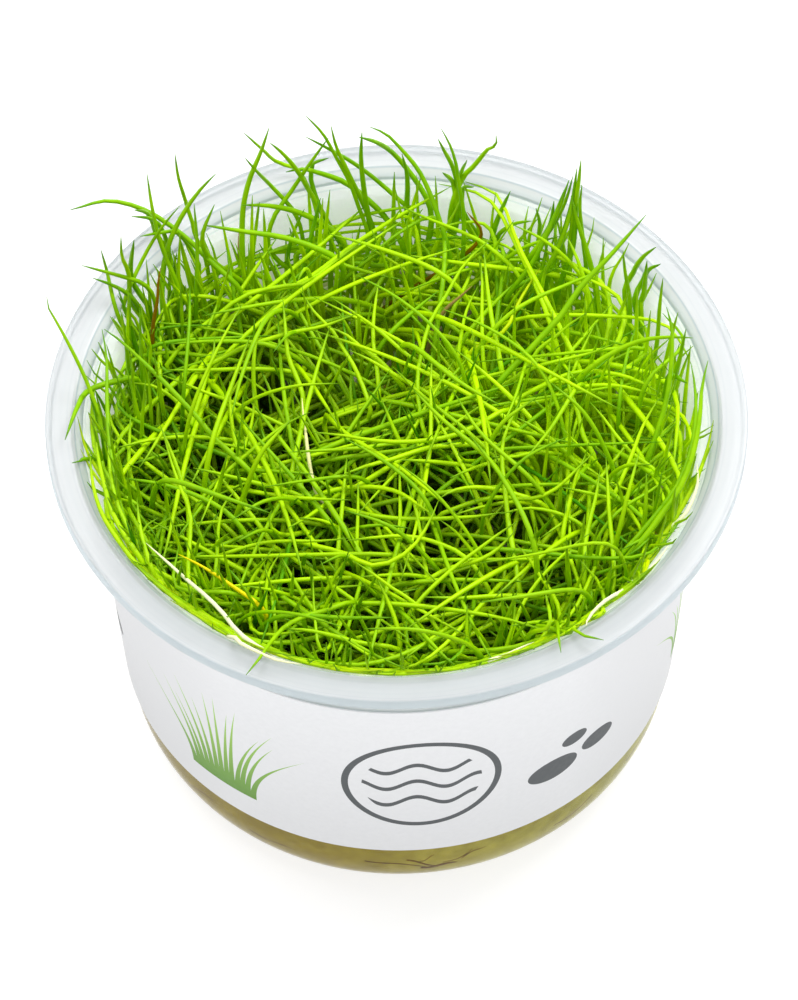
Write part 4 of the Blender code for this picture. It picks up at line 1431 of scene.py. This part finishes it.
def add_wall_blades(thicket, chance):
    """Pale blades swept along the wall that end at the lid seat, round the front and the sides."""
    for _ in range(WALL_BLADES):
        middle = chance.uniform(*SWEEP_ANGLES)
        half = 0.5 * chance.uniform(*SWEEP_WIDTH) * chance.choice((-1.0, 1.0))
        angles = np.radians(np.linspace(middle - half, middle + half, SWEEP_POINTS))
        heights = np.linspace(chance.uniform(*SWEEP_LOW), chance.uniform(*SWEEP_HIGH), SWEEP_POINTS)
        reach = inside_radius(heights) - chance.uniform(0.0, SWEEP_SHORT)
        chain = np.stack([reach * np.cos(angles), reach * np.sin(angles), heights], axis=1)
        radius = chance.uniform(*WALL_RADII)
        thicket.grow_to(chain, radius, chance.uniform(*WALL_TINTS), chance.uniform(*SWEEP_WITHER))


def add_solid_blades(thicket, chance):
    """The solids' own blades, apart from those that a traced blade stands for."""
    for owner, chains in enumerate(thicket.solids):
        for chain in chains:
            tip = chain[-1]
            over_rim = math.hypot(tip[0], tip[1]) > OVER_RIM_FROM and tip[2] > RIM_CLEAR
            if over_rim or thicket.is_traced(tip) or tip[2] > skyline(chain[-1:])[0] + OVER_SKYLINE:
                continue
            path = evenly_spaced(rooted(thicket.feet[owner], chain, chance), RINGS)
            radius = chance.uniform(*PLAIN_RADII)
            thicket.add(owner, pull_inside(path), radius, chance.uniform(*SOLID_TINTS), 0.0)


def add_grown(thicket, chance):
    """Ordinary blades; those that stay low are often old and brown."""
    owners, paths = grown_paths(thicket.feet, chance)
    for owner, path in zip(owners, paths):
        foot = thicket.feet[owner][:2]
        beside = min(1.0, max(0.0, (math.hypot(*foot) - BESIDE_FROM) / BESIDE_WIDTH))
        # Painted light: blades beside the wall and in the sun get a lighter tint
        middle = TINT_MIDDLE + TINT_BESIDE * beside + TINT_IN_SUN * float(max(foot) > SUN_FROM)
        tint = float(np.clip(chance.normal(middle, TINT_SPREAD), 0.0, 1.0))
        old = path[:, 2].max() < OLD_BELOW and chance.uniform(0.0, 1.0) < OLD_SHARE
        wither = chance.uniform(*OLD_WITHER) if old else 0.0
        radius = chance.uniform(*PLAIN_RADII) + BESIDE_THICKER * beside
        thicket.add(owner, path, radius, tint, wither)


def build_blades(frame, material):
    """All plantlets, one piece each."""
    chance = np.random.RandomState(SEED)
    names = sorted(name for name in frame["nodes"] if name.startswith("plantlet_"))
    found = [solid_blades(frame["nodes"][name]) for name in names]
    feet = np.array([foot for foot, _ in found])
    thicket = Thicket(feet, [chains for _, chains in found], chance)
    add_traced(thicket, chance)
    add_wall_blades(thicket, chance)
    add_solid_blades(thicket, chance)
    add_grown(thicket, chance)
    for name, rows in zip(names, thicket.rows):
        paths, radii, tints, withers = (np.array(column) for column in zip(*rows))
        number = name.split("_")[1]
        piece = blade_piece(f"blades_{number}", paths, radii, tints, withers, material)
        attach(piece, "root")
        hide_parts(name)


def build_root_threads(material):
    """Brown root threads that show in the gel through the tub's corner."""
    paths = []
    share = np.linspace(0.0, 1.0, RINGS)
    for angle, height, length, rise, _ in ROOT_THREADS:
        heights = height + rise * share + THREAD_SWING * np.sin(THREAD_WAVES * share + angle)
        heights = np.clip(heights, THREAD_LOWEST, LABEL_BOTTOM)
        turn = np.clip((CORNER_HEIGHT - heights) / CORNER_HEIGHT, 0.0, 1.0)
        reach = FLOOR_RADIUS + CORNER_WIDTH * np.sqrt(1.0 - turn ** 2) - THREAD_INSET
        around = math.radians(angle) + length * share / reach
        paths.append(np.stack([reach * np.sin(around), -reach * np.cos(around), heights], axis=1))
    count = len(paths)
    radii = np.array([thick for *_, thick in ROOT_THREADS])
    piece = blade_piece("root_threads", np.array(paths), radii, np.ones(count), np.ones(count), material)
    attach(piece, "root")


# Studio


def build_floor(material):
    """Wide pale floor."""
    bpy.ops.object.select_all(action="DESELECT")
    bpy.ops.mesh.primitive_plane_add(size=FLOOR_SIZE, location=(0.0, 0.0, -FLOOR_DROP))
    floor = bpy.context.object
    floor.name = "studio_floor"
    bpy.ops.object.transform_apply(location=True, rotation=True, scale=True)
    floor.data.materials.append(material)


def add_softbox(name, place, power):
    """Large soft light that points at the middle of the grass."""
    lamp = bpy.data.lights.new(name, "AREA")
    lamp.shape = "SQUARE"
    lamp.size = SOFTBOX_SIZE
    lamp.energy = power
    light = bpy.data.objects.new(name, lamp)
    bpy.context.scene.collection.objects.link(light)
    light.location = place
    aim = Vector(LIGHT_AIM) - Vector(place)
    light.rotation_euler = aim.to_track_quat("-Z", "Y").to_euler()


def build_light():
    """White surroundings with a soft light above left, and one above right and further back."""
    world = bpy.data.worlds.new("white studio")
    world.use_nodes = True
    background = world.node_tree.nodes["Background"]
    background.inputs["Color"].default_value = (1.0, 1.0, 1.0, 1.0)
    background.inputs["Strength"].default_value = WORLD_LIGHT
    bpy.context.scene.world = world
    for name, place, power in SOFTBOXES:
        add_softbox(name, place, power)
    bpy.context.scene.view_settings.view_transform = "Standard"
    bpy.context.scene.view_settings.look = "None"


def build_camera():
    """Camera at the photograph's place and angle."""
    right, up, forward = camera_axes()
    data = bpy.data.cameras.new("photo_camera")
    data.sensor_width = SENSOR
    data.lens = FOCAL_PIXELS * SENSOR / max(PHOTO_WIDTH, PHOTO_HEIGHT)
    data.clip_start = CAMERA_SEES_FROM
    data.clip_end = CAMERA_SEES_TO
    camera = bpy.data.objects.new("photo_camera", data)
    bpy.context.scene.collection.objects.link(camera)
    turn = Matrix((right, up, -forward)).transposed()
    camera.matrix_world = Matrix.Translation(Vector(CAMERA_PLACE) * MM) @ turn.to_4x4()
    bpy.context.scene.camera = camera


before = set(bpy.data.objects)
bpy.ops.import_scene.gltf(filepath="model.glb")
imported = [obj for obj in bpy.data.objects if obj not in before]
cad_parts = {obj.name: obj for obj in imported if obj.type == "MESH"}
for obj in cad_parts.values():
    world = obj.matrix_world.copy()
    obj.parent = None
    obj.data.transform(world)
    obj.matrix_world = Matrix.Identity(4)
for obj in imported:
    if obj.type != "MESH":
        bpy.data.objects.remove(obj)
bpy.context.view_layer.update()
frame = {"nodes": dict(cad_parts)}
build_camera()
mottle = mottle_group()
build_cup((clear_base(mottle), milky_wall(mottle), hazy_neck(mottle), frosted_rim(mottle)))
build_band(white_paper(mottle, reed_group(), oval_group()))
build_gel(olive_gel(mottle))
build_blades(frame, leaf_green(mottle))
build_root_threads(root_brown(mottle))
build_floor(pale_floor(mottle))
build_light()
bpy.context.view_layer.update()
